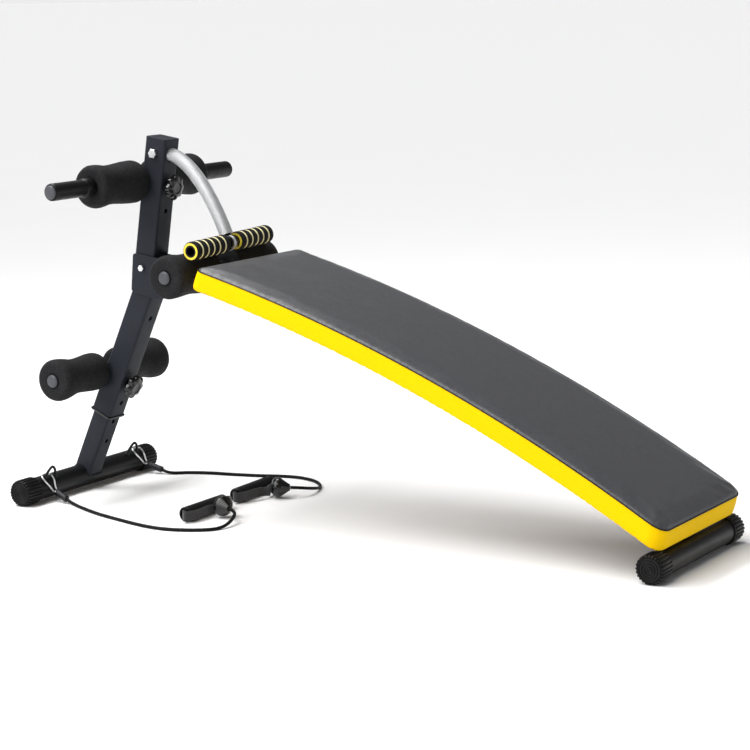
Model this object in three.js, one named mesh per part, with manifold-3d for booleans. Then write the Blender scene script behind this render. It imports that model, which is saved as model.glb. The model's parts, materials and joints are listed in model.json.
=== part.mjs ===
// Decline sit-up bench: a curved padded board that runs down from a post with foam foot holds.
// Millimetres, +Z up. +X runs from the foot-hold end down to the low end of the board, Y is across
// the bench, and the origin is on the floor under the middle of the bench.
// A leg telescopes on the front foot, a U-shaped bracket on top of the leg carries the upper post and
// the board on two bolts, and two elastic ropes with handles lie on the floor.
import * as THREE from "three";
import { mergeVertices } from "three/addons/utils/BufferGeometryUtils.js";
import Module from "manifold-3d";

const wasm = await Module();
wasm.setup();

// ---- Driving dimensions ----
const gap = 0.3;                    // between pieces that rest on or are welded to each other
const runningGap = 0.3;             // between a shaft and what turns on it
const footSpacing = 1256;           // front crossbar axis to rear crossbar axis
const capFacets = 24;
const cap = { radius: 25, length: 40, floor: 4 };
const crossbar = { radius: 21.5, wall: 2, front: 389, rear: 330 };
const barHeight = cap.radius * Math.cos(Math.PI / capFacets);
const frontX = -footSpacing / 2;
const rearX = footSpacing / 2;

const post = { side: 45, wall: 2, corner: 4 };
const inner = { side: 38, wall: 2, corner: 3, top: 300 };
const legLean = 24.8;               // degrees from upright, towards the board
const sleeve = { bottom: 141.8, top: 402 };
const lockPitch = 43;               // between the holes that set the leg's height
const lockHoles = [84.5, 127.5, 170.5, 213.5, 256.5];
const lockAt = lockHoles[3];

const postPivot = { x: frontX + 172.8, z: 432.6 };
const postLean = 9.2;
const postTop = 241.6;              // along the post from its pivot
const footBarAlong = 155.3;
const spareHoleAlong = 108.9;
const hookAlong = 213;

const plate = { thickness: 3, inside: 23 };
const tube = { radius: 12.5, wall: 2 };
const foam = { bulb: 39, waist: 34.5, bore: tube.radius + runningGap };
const footBarHalf = 263;
const rollerHalf = 155;

const pad = {
  radius: 3359.7, head: 14.39, rear: 30.94, width: 320, thickness: 43,
  headCorner: 18, rearCorner: 27, headSlant: 5, rearSlant: 11,
};
const padCentre = { x: frontX - 459.8, z: -2833.5 };
const beamSide = 45;
const boardPivot = { x: frontX + 232 };
const midRoller = { x: frontX + 321.5, z: 436.8 };

const rope = { radius: 3, facets: 8 };
const ferrule = { radius: 5.3, length: 33 };
const pullHandle = { x: frontX + 352.7, z: 484.6, inner: 18.5, outer: 124, radius: 17, yaw: 2, tilt: 1.3 };
const spring = { radius: 11.8, wall: 2.5 };

// ---- Materials ----
function material(color, roughness, metalness) {
  return new THREE.MeshStandardMaterial({ color, roughness, metalness });
}
const postPaint = () => material(0x3d4047, 0.5, 0.3);
const barPaint = () => material(0x1c1d1f, 0.45, 0.3);
const blackRubber = () => material(0x1a1a1c, 0.8, 0);
const blackFoam = () => material(0x222225, 0.95, 0);
const greyPlastic = () => material(0x8a8d96, 0.5, 0);
const blackPlastic = () => material(0x151517, 0.3, 0);
const brightSteel = () => material(0xd0d2d4, 0.25, 1);
const padVinyl = () => material(0x4b4c4f, 0.45, 0);
const plywood = () => material(0x8a6f4d, 0.8, 0);
const webbing = () => material(0x2c2c2e, 0.9, 0);

// ---- Geometry helpers ----
const radians = (degrees) => (degrees * Math.PI) / 180;
const at = (x, y, z) => new THREE.Vector3(x, y, z);

function toSolid(geometry) {
  const bare = geometry.clone();
  bare.deleteAttribute("normal");
  bare.deleteAttribute("uv");
  const merged = mergeVertices(bare, 1e-4);
  const corners = merged.index.array;
  const kept = [];
  for (let i = 0; i < corners.length; i += 3) {
    const [a, b, c] = corners.slice(i, i + 3);
    if (a !== b && b !== c && c !== a) kept.push(a, b, c);
  }
  const vertProperties = new Float32Array(merged.attributes.position.array);
  return new wasm.Manifold(new wasm.Mesh({ numProp: 3, vertProperties, triVerts: new Uint32Array(kept) }));
}

function toGeometry(solid) {
  const result = solid.getMesh();
  const geometry = new THREE.BufferGeometry();
  geometry.setAttribute("position", new THREE.BufferAttribute(result.vertProperties, 3));
  geometry.setIndex(new THREE.BufferAttribute(result.triVerts, 1));
  return geometry;
}

function cut(geometry, ...cutters) {
  return toGeometry(cutters.reduce((solid, cutter) => solid.subtract(toSolid(cutter)), toSolid(geometry)));
}

function join(geometry, ...others) {
  return toGeometry(others.reduce((solid, other) => solid.add(toSolid(other)), toSolid(geometry)));
}

function overlap(geometry, other) {
  return toGeometry(toSolid(geometry).intersect(toSolid(other)));
}

// A body turned about the Y axis from [radius, y] pairs, listed anticlockwise (inside of a ring first).
function turned(profile, facets) {
  const points = profile.map(([radius, y]) => new THREE.Vector2(radius, y));
  const geometry = new THREE.LatheGeometry(points, facets);
  return geometry.rotateY(Math.PI / facets);
}

function rod(radius, low, high, facets = 20) {
  return turned([[0, low], [radius, low], [radius, high], [0, high]], facets);
}

function ring(outer, bore, low, high, facets = 32) {
  return turned([[bore, low], [outer, low], [outer, high], [bore, high], [bore, low]], facets);
}

function roundedSquare(side, corner) {
  const half = side / 2;
  const shape = new THREE.Shape();
  shape.moveTo(half, -half + corner);
  shape.absarc(half - corner, half - corner, corner, 0, Math.PI / 2);
  shape.absarc(-half + corner, half - corner, corner, Math.PI / 2, Math.PI);
  shape.absarc(-half + corner, -half + corner, corner, Math.PI, 1.5 * Math.PI);
  shape.absarc(half - corner, -half + corner, corner, 1.5 * Math.PI, 2 * Math.PI);
  return shape;
}

function squareBar(side, corner, low, high) {
  const options = { depth: high - low, bevelEnabled: false, curveSegments: 1 };
  return new THREE.ExtrudeGeometry(roundedSquare(side, corner), options).translate(0, 0, low);
}

function squareTube({ side, wall, corner }, low, high) {
  const bore = squareBar(side - 2 * wall, Math.max(corner - wall, 1), low - 1, high + 1);
  return cut(squareBar(side, corner, low, high), bore);
}

// A plate or bar with its outline in X and Z, centred across the bench.
function acrossBench(shape, width, curveSegments = 12) {
  const geometry = new THREE.ExtrudeGeometry(shape, { depth: width, bevelEnabled: false, curveSegments });
  return geometry.translate(0, 0, -width / 2).rotateX(Math.PI / 2);
}

function roundRod(points, radius, facets, steps) {
  const circle = new THREE.Shape();
  circle.absarc(0, 0, radius, 0, 2 * Math.PI);
  const extrudePath = new THREE.CatmullRomCurve3(points);
  return new THREE.ExtrudeGeometry(circle, { steps, curveSegments: facets / 2, extrudePath });
}

// A sector of the board's arc: radii from its centre, angles in degrees from upright.
function arcSector(inside, outside, from, to, width) {
  const low = Math.PI / 2 - radians(to);
  const high = Math.PI / 2 - radians(from);
  const shape = new THREE.Shape();
  shape.absarc(padCentre.x, padCentre.z, outside, low, high);
  shape.absarc(padCentre.x, padCentre.z, inside, high, low, true);
  return acrossBench(shape, width, 12);
}

function named(name, geometry, surface) {
  const mesh = new THREE.Mesh(geometry, surface);
  mesh.name = name;
  return mesh;
}

// The same piece on both sides of the bench: left is -Y, right is +Y.
function leftAndRight(make) {
  return [["left", -1], ["right", 1]].map(([side, sign]) => make(side, sign));
}

function facing(sign, geometry) {
  return sign < 0 ? geometry.rotateX(Math.PI) : geometry;
}

const bench = new THREE.Group();

// ---- Feet: crossbars and their ribbed caps ----
function crossbarTube(length) {
  const half = length / 2 - cap.floor - gap;
  return ring(crossbar.radius, crossbar.radius - crossbar.wall, -half, half, 32);
}

function endCap(length) {
  const outer = length / 2;
  const floorAt = outer - cap.floor;
  const mouth = outer - cap.length;
  const bore = crossbar.radius + gap;
  const profile = [
    [0, floorAt], [bore, floorAt], [bore, mouth], [cap.radius, mouth],
    [cap.radius, outer - 2], [cap.radius - 2, outer], [0, outer],
  ];
  return turned(profile, capFacets);
}

function foot(end, x, length) {
  const group = new THREE.Group();
  group.position.set(x, 0, barHeight);
  group.add(named(`${end}_crossbar`, crossbarTube(length), barPaint()));
  group.add(...leftAndRight((side, sign) => (
    named(`${end}_cap_${side}`, facing(sign, endCap(length)), blackRubber())
  )));
  return group;
}
bench.add(foot("front", frontX, crossbar.front));
bench.add(foot("rear", rearX, crossbar.rear));

// ---- Leg: local Z runs up the leg, local X faces the board ----
const leg = new THREE.Group();
leg.position.set(frontX, 0, barHeight);
leg.rotation.y = radians(legLean);

function drill(radius, along, from, to) {
  return rod(radius, from, to, 16).rotateZ(-Math.PI / 2).translate(0, 0, along);
}

function innerPost() {
  const saddle = rod(crossbar.radius + gap, -60, 60, 32);
  const holes = lockHoles.map((along) => drill(4.5, along, 0, 40));
  return cut(squareTube(inner, 4, inner.top), saddle, ...holes);
}

function outerSleeve() {
  const holes = [lockAt - lockPitch, lockAt, 352].map((along) => drill(4.6, along, 0, 40));
  return cut(squareTube(post, sleeve.bottom, sleeve.top), ...holes);
}

function sleeveCollar() {
  const lip = squareBar(post.side + 4, post.corner + 1, sleeve.bottom - gap - 3.5, sleeve.bottom - gap);
  const spigot = squareBar(post.side - 2 * post.wall - 0.4, 2, sleeve.bottom - 3, sleeve.bottom + 20);
  const bore = squareBar(inner.side + 2 * runningGap, 3, sleeve.bottom - 20, sleeve.bottom + 40);
  return cut(join(lip, spigot), bore);
}

// A hand knob with lobes around it, along local X from its seat.
function starKnob(seat) {
  const lobes = 8;
  const outline = new THREE.Shape();
  const steps = lobes * 6;
  for (let i = 0; i < steps; i += 1) {
    const turn = (i / steps) * 2 * Math.PI;
    const reach = 21.5 + 2 * Math.cos(lobes * turn);
    const point = [reach * Math.cos(turn), reach * Math.sin(turn)];
    if (i === 0) outline.moveTo(...point);
    else outline.lineTo(...point);
  }
  const head = new THREE.ExtrudeGeometry(outline, {
    depth: 10, bevelThickness: 3, bevelSize: 3, bevelOffset: -3, bevelSegments: 1,
  }).rotateY(Math.PI / 2).translate(seat + 9, 0, 0);
  return join(head, rod(9, seat, seat + 8, 20).rotateZ(-Math.PI / 2));
}

function alongX(radius, from, to, facets = 16) {
  return rod(radius, from, to, facets).rotateZ(-Math.PI / 2);
}

function lockKnob() {
  const seat = post.side / 2 + gap;
  const pinFrom = inner.side / 2 + gap;
  return join(starKnob(seat), alongX(4, pinFrom, seat + 4)).translate(0, 0, lockAt);
}

leg.add(named("inner_post", innerPost(), postPaint()));
leg.add(named("outer_sleeve", outerSleeve(), postPaint()));
leg.add(named("sleeve_collar", sleeveCollar(), blackPlastic()));
leg.add(named("leg_lock_knob", lockKnob(), blackPlastic()));
bench.add(leg);

// ---- Foam rollers on a cross tube ----
function foamRoller(low, high) {
  const length = high - low;
  const { bulb, waist, bore } = foam;
  const swell = [
    [bulb - 5, 0], [bulb, 0.07], [bulb, 0.2], [waist, 0.42],
    [waist, 0.58], [bulb, 0.8], [bulb, 0.93], [bulb - 5, 1],
  ];
  const skin = swell.map(([radius, part]) => [radius, low + part * length]);
  return turned([[bore, low], ...skin, [bore, high], [bore, low]], 20);
}

function crossTube(half) {
  return ring(tube.radius, tube.radius - tube.wall, -half, half, 24);
}

function tubePlug(half, radius) {
  const spigot = tube.radius - tube.wall - gap;
  const seat = half + gap;
  return turned([
    [0, half - 15], [spigot, half - 15], [spigot, seat], [radius, seat],
    [radius, seat + 1.4], [radius - 2.4, seat + 2.8], [0, seat + 3.4],
  ], 24);
}

function rollerSet(level, half, innerEnd) {
  const group = new THREE.Group();
  group.add(...leftAndRight((side, sign) => (
    named(`${level}_plug_${side}`, facing(sign, tubePlug(half, tube.radius)), greyPlastic())
  )));
  group.add(...leftAndRight((side, sign) => (
    named(`${level}_foam_${side}`, facing(sign, foamRoller(innerEnd, half - 1)), blackFoam())
  )));
  return group;
}

const besidePost = -(post.side / 2 + tube.radius + gap);
const lowerRollers = rollerSet("lower", rollerHalf, 25.5);
lowerRollers.add(named("lower_roller_tube", crossTube(rollerHalf), barPaint()));
lowerRollers.position.set(besidePost, 0, lockAt);
leg.add(lowerRollers);

// ---- Bracket: two side plates and the web that the upper post leans on ----
function bracketOutline() {
  const corners = [
    [-20, 27], [36, 20], [72, 17], [85, 4], [85, -12], [48, -55], [14, -54], [-27, -44],
  ];
  const shape = new THREE.Shape();
  corners.forEach(([x, z]) => shape.lineTo(x, z));
  return shape;
}

// The beam's centre line passes through both bolts' height at the board pivot.
const beamOuter = pad.radius - gap;
const beamCentre = beamOuter - beamSide / 2;
const angleAtX = (x, radius) => Math.asin((x - padCentre.x) / radius);
const boardPivotAngle = angleAtX(boardPivot.x, beamCentre);
boardPivot.z = padCentre.z + beamCentre * Math.cos(boardPivotAngle);
const boardPivotOffset = [boardPivot.x - postPivot.x, boardPivot.z - postPivot.z];

function hingeBracket() {
  const outline = bracketOutline();
  const outside = plate.inside + plate.thickness;
  const both = acrossBench(outline, 2 * outside);
  const between = acrossBench(outline, 2 * plate.inside).scale(1.5, 1, 1.5);
  const webFrom = post.side / 2 + 0.8;
  const web = new THREE.BoxGeometry(plate.thickness, 2 * outside - 1, 40)
    .translate(webFrom + plate.thickness / 2, 0, 2)
    .rotateY(radians(postLean));
  const postBore = rod(4.4, -40, 40, 16);
  const [x, z] = boardPivotOffset;
  const boardBore = rod(5.4, -40, 40, 16).translate(x, 0, z);
  return cut(join(cut(both, between), web), postBore, boardBore);
}

// A hexagon-headed bolt across the bench, its head on the left side.
function hexBolt(radius, head, seat, length) {
  const headThickness = radius * 1.3;
  const hexagon = turned([
    [0, -seat - headThickness], [head * 0.85, -seat - headThickness],
    [head, -seat - headThickness * 0.8], [head, -seat], [0, -seat],
  ], 6);
  return join(hexagon, rod(radius, -seat - 1, length, 16));
}

function hexNut(radius, head, seat) {
  const bore = radius / Math.cos(Math.PI / 6) + 0.15;
  const thick = radius * 1.6;
  return turned([
    [bore, seat], [head, seat], [head, seat + thick], [bore, seat + thick], [bore, seat],
  ], 6);
}

function boltAndNut(name, radius, head, seat) {
  const group = new THREE.Group();
  const length = seat + radius * 1.6 + 3;
  group.add(named(`${name}_bolt`, hexBolt(radius, head, seat + gap, length), brightSteel()));
  group.add(named(`${name}_nut`, hexNut(radius, head, seat + gap), brightSteel()));
  return group;
}

const bracket = new THREE.Group();
bracket.position.set(postPivot.x, 0, postPivot.z);
bracket.add(named("hinge_bracket", hingeBracket(), postPaint()));
bracket.add(boltAndNut("post_pivot", 4, 6.5, plate.inside + plate.thickness));
const boardBolt = boltAndNut("board_pivot", 5, 8.5, plate.inside + plate.thickness);
boardBolt.position.set(boardPivotOffset[0], 0, boardPivotOffset[1]);
bracket.add(boardBolt);
bench.add(bracket);

// ---- Upper post: local Z runs up the post from its pivot, local X faces the board ----
const upper = new THREE.Group();
upper.position.set(postPivot.x, 0, postPivot.z);
upper.rotation.y = radians(postLean);

function upperPost() {
  const half = post.side / 2;
  const roundFoot = new THREE.Shape();
  roundFoot.moveTo(half, postTop + 1);
  roundFoot.lineTo(-half, postTop + 1);
  roundFoot.absarc(0, 0, half, Math.PI, 2 * Math.PI);
  const walls = overlap(squareTube(post, -half, postTop), acrossBench(roundFoot, post.side + 2));
  const lid = squareBar(post.side, post.corner, postTop - 3, postTop);
  const springHole = drill(14, hookAlong, 0, 40);
  const footBarHole = drill(4.4, footBarAlong, -40, 40);
  const spareHole = drill(4.4, spareHoleAlong, -40, 40);
  const pivotHole = rod(4.4, -40, 40, 16);
  const hookHole = rod(5.2, -40, 40, 16).translate(0, 0, hookAlong);
  return cut(join(walls, lid), springHole, footBarHole, spareHole, pivotHole, hookHole);
}

function footBarBolt() {
  const back = besidePost - tube.radius - gap;
  const head = alongX(8, back - 4, back, 20);
  return join(head, alongX(4, back - 1, post.side / 2 + 19)).translate(0, 0, footBarAlong);
}

function footBarKnob() {
  const seat = post.side / 2 + gap;
  const bore = alongX(4.3, seat - 1, seat + 20);
  return cut(starKnob(seat), bore).translate(0, 0, footBarAlong);
}

function footBar() {
  const group = new THREE.Group();
  const hole = alongX(4.4, -20, 20);
  group.add(named("foot_bar", cut(crossTube(footBarHalf), hole), barPaint()));
  group.add(...leftAndRight((side, sign) => {
    const sleeveGrip = ring(15.5, tube.radius + 0.2, rollerHalf, footBarHalf, 24);
    return named(`foot_bar_grip_${side}`, facing(sign, sleeveGrip), blackRubber());
  }));
  group.add(...leftAndRight((side, sign) => (
    named(`foot_bar_plug_${side}`, facing(sign, tubePlug(footBarHalf, 14.5)), greyPlastic())
  )));
  group.add(...leftAndRight((side, sign) => (
    named(`upper_foam_${side}`, facing(sign, foamRoller(25.5, rollerHalf - 1)), blackFoam())
  )));
  group.position.set(besidePost, 0, footBarAlong);
  return group;
}

const hook = boltAndNut("hook", 5, 9.2, post.side / 2);
hook.position.set(0, 0, hookAlong);
upper.add(named("upper_post", upperPost(), postPaint()), hook, footBar());
upper.add(named("foot_bar_bolt", footBarBolt(), brightSteel()));
upper.add(named("foot_bar_knob", footBarKnob(), blackPlastic()));
bench.add(upper);

// ---- Pull spring and its two-grip handle ----
const towardsSpring = at(-0.39, 0, 0.92);
const handleAt = at(pullHandle.x, 0, pullHandle.z);

function pullSpring() {
  const coil = new THREE.Shape();
  coil.absarc(0, 0, spring.radius, 0, 2 * Math.PI);
  const core = new THREE.Path();
  core.absarc(0, 0, spring.radius - spring.wall, 0, 2 * Math.PI);
  coil.holes.push(core);
  const start = at(8, 0, hookAlong).applyAxisAngle(at(0, 1, 0), upper.rotation.y).add(upper.position);
  const leaving = start.clone().add(at(54, 0, 0));
  const end = handleAt.clone().addScaledVector(towardsSpring, 16);
  const arriving = handleAt.clone().addScaledVector(towardsSpring, 88);
  const extrudePath = new THREE.CubicBezierCurve3(start, leaving, arriving, end);
  return new THREE.ExtrudeGeometry(coil, { steps: 14, curveSegments: 7, extrudePath });
}

function handleHub() {
  const lean = Math.atan2(towardsSpring.x, towardsSpring.z);
  const stem = rod(spring.radius - spring.wall - 1.3, 11, 28, 16).rotateX(Math.PI / 2).rotateY(lean);
  const collar = ring(14.5, 10.2, -16, 16, 24);
  return join(collar, stem);
}

const handle = new THREE.Group();
handle.position.set(pullHandle.x, 0, pullHandle.z);
handle.rotation.set(radians(pullHandle.tilt), 0, radians(pullHandle.yaw));
handle.add(named("pull_handle_tube", ring(10, 8, -pullHandle.outer, pullHandle.outer, 24), barPaint()));
handle.add(named("pull_handle_hub", handleHub(), blackPlastic()));
handle.add(...leftAndRight((side, sign) => {
  const grip = ring(pullHandle.radius, 10 + 0.2, pullHandle.inner, pullHandle.outer, 24);
  return named(`pull_grip_${side}`, facing(sign, grip), blackFoam());
}));
bench.add(named("pull_spring", pullSpring(), brightSteel()));
bench.add(handle);

// ---- Board: curved beam, plywood base, pad, and the roller at its head ----
function mainBeam() {
  const half = beamSide / 2;
  const rearAngle = (angleAtX(rearX - 7, beamCentre) * 180) / Math.PI;
  const frontAngle = (boardPivotAngle * 180) / Math.PI;
  const arc = arcSector(beamOuter - beamSide, beamOuter, frontAngle, rearAngle, beamSide);
  const nose = rod(half, -half, half, 32).translate(boardPivot.x, 0, boardPivot.z);
  const wall = post.wall;
  const hollow = arcSector(beamOuter - beamSide + wall, beamOuter - wall, 8, 34, beamSide - 2 * wall);
  const saddle = rod(crossbar.radius + gap, -40, 40, 32).translate(rearX, 0, barHeight);
  const rollerSeat = rod(tube.radius + gap, -40, 40, 24).translate(midRoller.x, 0, midRoller.z);
  const pivotBore = rod(5.3, -40, 40, 16).translate(boardPivot.x, 0, boardPivot.z);
  return cut(join(arc, nose), hollow, saddle, rollerSeat, pivotBore);
}

const baseThickness = 9;
const baseInset = 9;

// The pad's plan as stations along the arc: degrees from upright underneath and on top, and half the width.
// Its end faces lean inwards, so the top is shorter than the underside.
function padStations() {
  const { head, rear, headCorner, rearCorner, headSlant, rearSlant, width } = pad;
  const cornerSteps = 6;
  const degreesPerMm = 180 / (Math.PI * pad.radius);
  const rounded = (corner) => Array.from({ length: cornerSteps + 1 }, (_, i) => {
    const turn = (i / cornerSteps) * (Math.PI / 2);
    return [corner * (1 - Math.cos(turn)) * degreesPerMm, width / 2 - corner * (1 - Math.sin(turn))];
  });
  const first = head + headCorner * degreesPerMm;
  const last = rear - rearCorner * degreesPerMm;
  const middle = Array.from({ length: 19 }, (_, i) => [first + ((i + 1) / 20) * (last - first), width / 2]);
  const start = rounded(headCorner).map(([inset, half]) => [head + inset, half]);
  const finish = rounded(rearCorner).map(([inset, half]) => [rear - inset, half]).reverse();
  const topShare = 1 - ((headSlant + rearSlant) * degreesPerMm) / (rear - head);
  const onTop = (degrees) => head + headSlant * degreesPerMm + (degrees - head) * topShare;
  return [...start, ...middle, ...finish].map(([degrees, half]) => [degrees, onTop(degrees), half]);
}

function seatPad() {
  const stations = padStations();
  const corners = stations.flatMap(([under, above, half]) => {
    const level = (radius, degrees, y) => (
      [padCentre.x + radius * Math.sin(radians(degrees)), y, padCentre.z + radius * Math.cos(radians(degrees))]
    );
    const top = pad.radius + pad.thickness;
    return [
      level(top, above, -half), level(top, above, half),
      level(pad.radius, under, half), level(pad.radius, under, -half),
    ];
  });
  const quad = (a, b, c, d) => [a, b, c, a, c, d];
  const faces = stations.slice(1).flatMap((_, i) => (
    [0, 1, 2, 3].flatMap((k) => {
      const next = (k + 1) % 4;
      return quad(4 * i + k, 4 * i + 4 + k, 4 * i + 4 + next, 4 * i + next);
    })
  ));
  const last = 4 * (stations.length - 1);
  const ends = [...quad(0, 1, 2, 3), ...quad(last, last + 3, last + 2, last + 1)];
  const block = new THREE.BufferGeometry();
  block.setAttribute("position", new THREE.Float32BufferAttribute(corners.flat(), 3));
  block.setIndex([...faces, ...ends]);
  const insetAngle = (baseInset / pad.radius) * (180 / Math.PI);
  const pocket = arcSector(
    pad.radius - 5, pad.radius + baseThickness + gap,
    pad.head + insetAngle, pad.rear - insetAngle, pad.width - 2 * baseInset,
  );
  return cut(block, pocket);
}

function padBase() {
  const inset = baseInset + gap;
  const insetAngle = (inset / pad.radius) * (180 / Math.PI);
  return arcSector(
    pad.radius, pad.radius + baseThickness,
    pad.head + insetAngle, pad.rear - insetAngle, pad.width - 2 * inset,
  );
}

const midRollers = rollerSet("mid", rollerHalf, 27.5);
midRollers.add(named("mid_roller_tube", crossTube(rollerHalf), barPaint()));
midRollers.position.set(midRoller.x, 0, midRoller.z);
bench.add(named("main_beam", mainBeam(), barPaint()));
bench.add(named("pad_base", padBase(), plywood()));
bench.add(named("seat_pad", seatPad(), padVinyl()));
bench.add(midRollers);

// ---- Elastic ropes: eye, link, ferrule, rope, stopper, strap and grip on each side ----
const eyeAcross = 124;
const crossbarBody = () => rod(crossbar.radius + gap, -400, 400, 32).translate(frontX, 0, barHeight);

function ropeEye(sign) {
  const middle = sign * eyeAcross;
  const foot = barHeight + 12;
  const points = [
    at(frontX + 10, middle - 15, foot), at(frontX + 15, middle - 7, foot + 14),
    at(frontX + 18, middle + 1, foot + 25), at(frontX + 18.5, middle + 7, foot + 27.5),
    at(frontX + 18, middle + 12, foot + 22), at(frontX + 14, middle + 15, foot),
  ];
  return cut(roundRod(points, 2.5, 8, 18), crossbarBody());
}

// Each route lists where the rope's centre runs, from the ferrule to the stopper.
const ropeRoutes = {
  left: [
    [62.5, -134.7, 8.3], [73.6, -138, 5.2], [89.6, -144.5, 3.4], [111, -155.5, 3.2], [145, -171, 3.2],
    [180, -184.5, 3.2], [239, -202, 3.2], [294, -216, 3.2], [332, -221, 3.2], [362, -218.5, 3.2],
    [387, -211, 3.2], [407, -201, 3.2], [422, -190.5, 3.2], [431.5, -178.5, 3.2], [436, -165.5, 4], [437.5, -153.5, 6],
    [437, -142.5, 8.7], [435, -131, 11.8], [431.3, -120.5, 14.9], [425.5, -112, 17.6], [417, -105.8, 19.3],
    [407.6, -101.4, 20],
  ],
  right: [
    [63.5, 156, 8.2], [75, 157, 4.9], [86, 162, 3.4], [98, 170, 3.2], [112, 179.5, 3.2], [149, 194, 3.2],
    [198, 204, 3.2], [249, 217, 3.2], [293, 233, 3.2], [330, 238, 3.2], [364, 230, 3.2], [385, 217.5, 3.2],
    [399, 204.5, 3.2], [409, 191.5, 3.4], [416, 178, 4], [420.5, 164, 6.3], [424, 150, 9],
    [425.5, 135.5, 12], [425, 121.5, 15], [420.8, 110, 17.5], [414, 101.6, 19], [405.6, 95.9, 19.5],
  ],
};

const ropePoints = (side) => ropeRoutes[side].map(([x, y, z]) => at(frontX + x, y, z));

function endToEnd(points) {
  const [first, second] = points;
  return { first, direction: second.clone().sub(first).normalize() };
}

function ropeFerrule(side) {
  const { first, direction } = endToEnd(ropePoints(side));
  const turn = new THREE.Quaternion().setFromUnitVectors(at(0, -1, 0), direction);
  const body = turned([
    [0, gap], [ferrule.radius - 1, gap], [ferrule.radius, gap + 1.2],
    [ferrule.radius, ferrule.length - 1.2], [ferrule.radius - 1, ferrule.length], [0, ferrule.length],
  ], 16);
  return body.applyQuaternion(turn).translate(first.x, first.y, first.z);
}

// A bent wire that hooks round the outer leg of its eye, both ends meeting at the ferrule.
function ropeLink(side, sign) {
  const { first, direction } = endToEnd(ropePoints(side));
  const base = first.clone().addScaledVector(direction, -(ferrule.length + 1.8));
  const spread = at(0, 1.9 * sign, 0);
  const eyeLeg = sign * eyeAcross + (sign < 0 ? -7.5 : 13.4);
  const outside = at(frontX + 14, eyeLeg + 14 * sign, barHeight + 23.6);
  const within = at(frontX + 14, eyeLeg - 10 * sign, barHeight + 24.6);
  const forward = at(7, 0, -7.5);
  const outerWire = base.clone().add(spread);
  const innerWire = base.clone().sub(spread);
  const outsideFront = outside.clone().add(forward);
  const withinFront = within.clone().add(forward);
  const points = [
    outerWire, outerWire.clone().lerp(outsideFront, 0.5), outsideFront, outside,
    at(frontX + 10, eyeLeg + 6 * sign, barHeight + 25.6),
    at(frontX + 10, eyeLeg - 4 * sign, barHeight + 25.6),
    within, withinFront, innerWire.clone().lerp(withinFront, 0.5), innerWire,
  ];
  return roundRod(points, 1.5, 6, 26);
}

function ropeCord(side) {
  return roundRod(ropePoints(side), rope.radius, rope.facets, 40);
}

const stopper = { radius: 19, back: 13, tip: 22 };

// The stopper's local Y axis points back along the rope: a dome, then a cone down to the rope.
function ropeStopper(side) {
  const { first, direction } = endToEnd(ropePoints(side).reverse());
  const tip = first.clone().addScaledVector(direction, -gap);
  const { radius, back } = stopper;
  const profile = [
    [0, -back], [0.42 * radius, -back], [0.78 * radius, -0.75 * back], [0.95 * radius, -0.35 * back],
    [radius, 0], [0.97 * radius, 3], [0.35 * radius, stopper.tip - 2], [0.27 * radius, stopper.tip],
    [0, stopper.tip],
  ];
  const turn = new THREE.Quaternion().setFromUnitVectors(at(0, 1, 0), direction);
  const body = turned(profile, 20).translate(0, -stopper.tip, 0).applyQuaternion(turn);
  return body.translate(tip.x, tip.y, tip.z);
}

const grip = { radius: 13.5, bore: 10, half: 58 };
const gripPlaces = { left: { x: 345, y: -92, turn: 0 }, right: { x: 335, y: 74.5, turn: 2.75 } };

function ropeGrip(side) {
  const { x, y, turn } = gripPlaces[side];
  const sleeveGrip = ring(grip.radius, grip.bore, -grip.half, grip.half, 24);
  return sleeveGrip.rotateZ(radians(turn)).translate(frontX + x, y, grip.radius);
}

// Where each strap runs, seen from above: from the stopper through the grip and back.
const strapRoutes = {
  left: [
    [374.2, -84.1], [369, -78], [366.5, -66], [364.5, -50], [360, -31], [352.5, -22.5], [346.5, -26],
    [345, -36], [345, -66], [345, -92], [345, -120], [345, -147], [346.5, -158], [353, -162.5],
    [359.5, -157], [361.5, -143], [362, -120], [362.5, -103], [366.5, -93], [373.1, -87],
  ],
  right: [
    [373.4, 76.3], [366.5, 78], [363.5, 86], [360.5, 104], [354, 126], [347, 138.5], [339, 142.5],
    [333.4, 138], [332.5, 128], [333.8, 100], [335, 74.5], [336.3, 48], [337.7, 20], [338.5, 9],
    [343, 3], [350, 5.5], [354, 16], [357, 36], [361, 56], [366.5, 67.5], [375.2, 73.5],
  ],
};

// Webbing on edge: an outline of even thickness along its route, as tall as the webbing is wide.
function ropeStrap(side) {
  const thickness = 1.8;
  const width = 17;
  const route = new THREE.CatmullRomCurve3(strapRoutes[side].map(([x, y]) => at(frontX + x, y, 0)));
  const steps = 48;
  const edge = (sign) => Array.from({ length: steps + 1 }, (_, i) => {
    const point = route.getPointAt(i / steps);
    const along = route.getTangentAt(i / steps);
    const reach = (sign * thickness) / 2;
    return new THREE.Vector2(point.x - along.y * reach, point.y + along.x * reach);
  });
  const shape = new THREE.Shape([...edge(1), ...edge(-1).reverse()]);
  const strap = new THREE.ExtrudeGeometry(shape, { depth: width, bevelEnabled: false });
  return strap.translate(0, 0, grip.radius - width / 2);
}

leftAndRight((side, sign) => {
  bench.add(named(`rope_eye_${side}`, ropeEye(sign), barPaint()));
  bench.add(named(`rope_link_${side}`, ropeLink(side, sign), brightSteel()));
  bench.add(named(`rope_ferrule_${side}`, ropeFerrule(side), brightSteel()));
  bench.add(named(`rope_${side}`, ropeCord(side), blackRubber()));
  bench.add(named(`rope_stopper_${side}`, ropeStopper(side), blackPlastic()));
  bench.add(named(`rope_grip_${side}`, ropeGrip(side), blackRubber()));
  bench.add(named(`rope_strap_${side}`, ropeStrap(side), webbing()));
  return side;
});

export default bench;
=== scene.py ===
import json
import math
import random

import bmesh
import bpy
from mathutils import Matrix, Vector, noise


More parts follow.
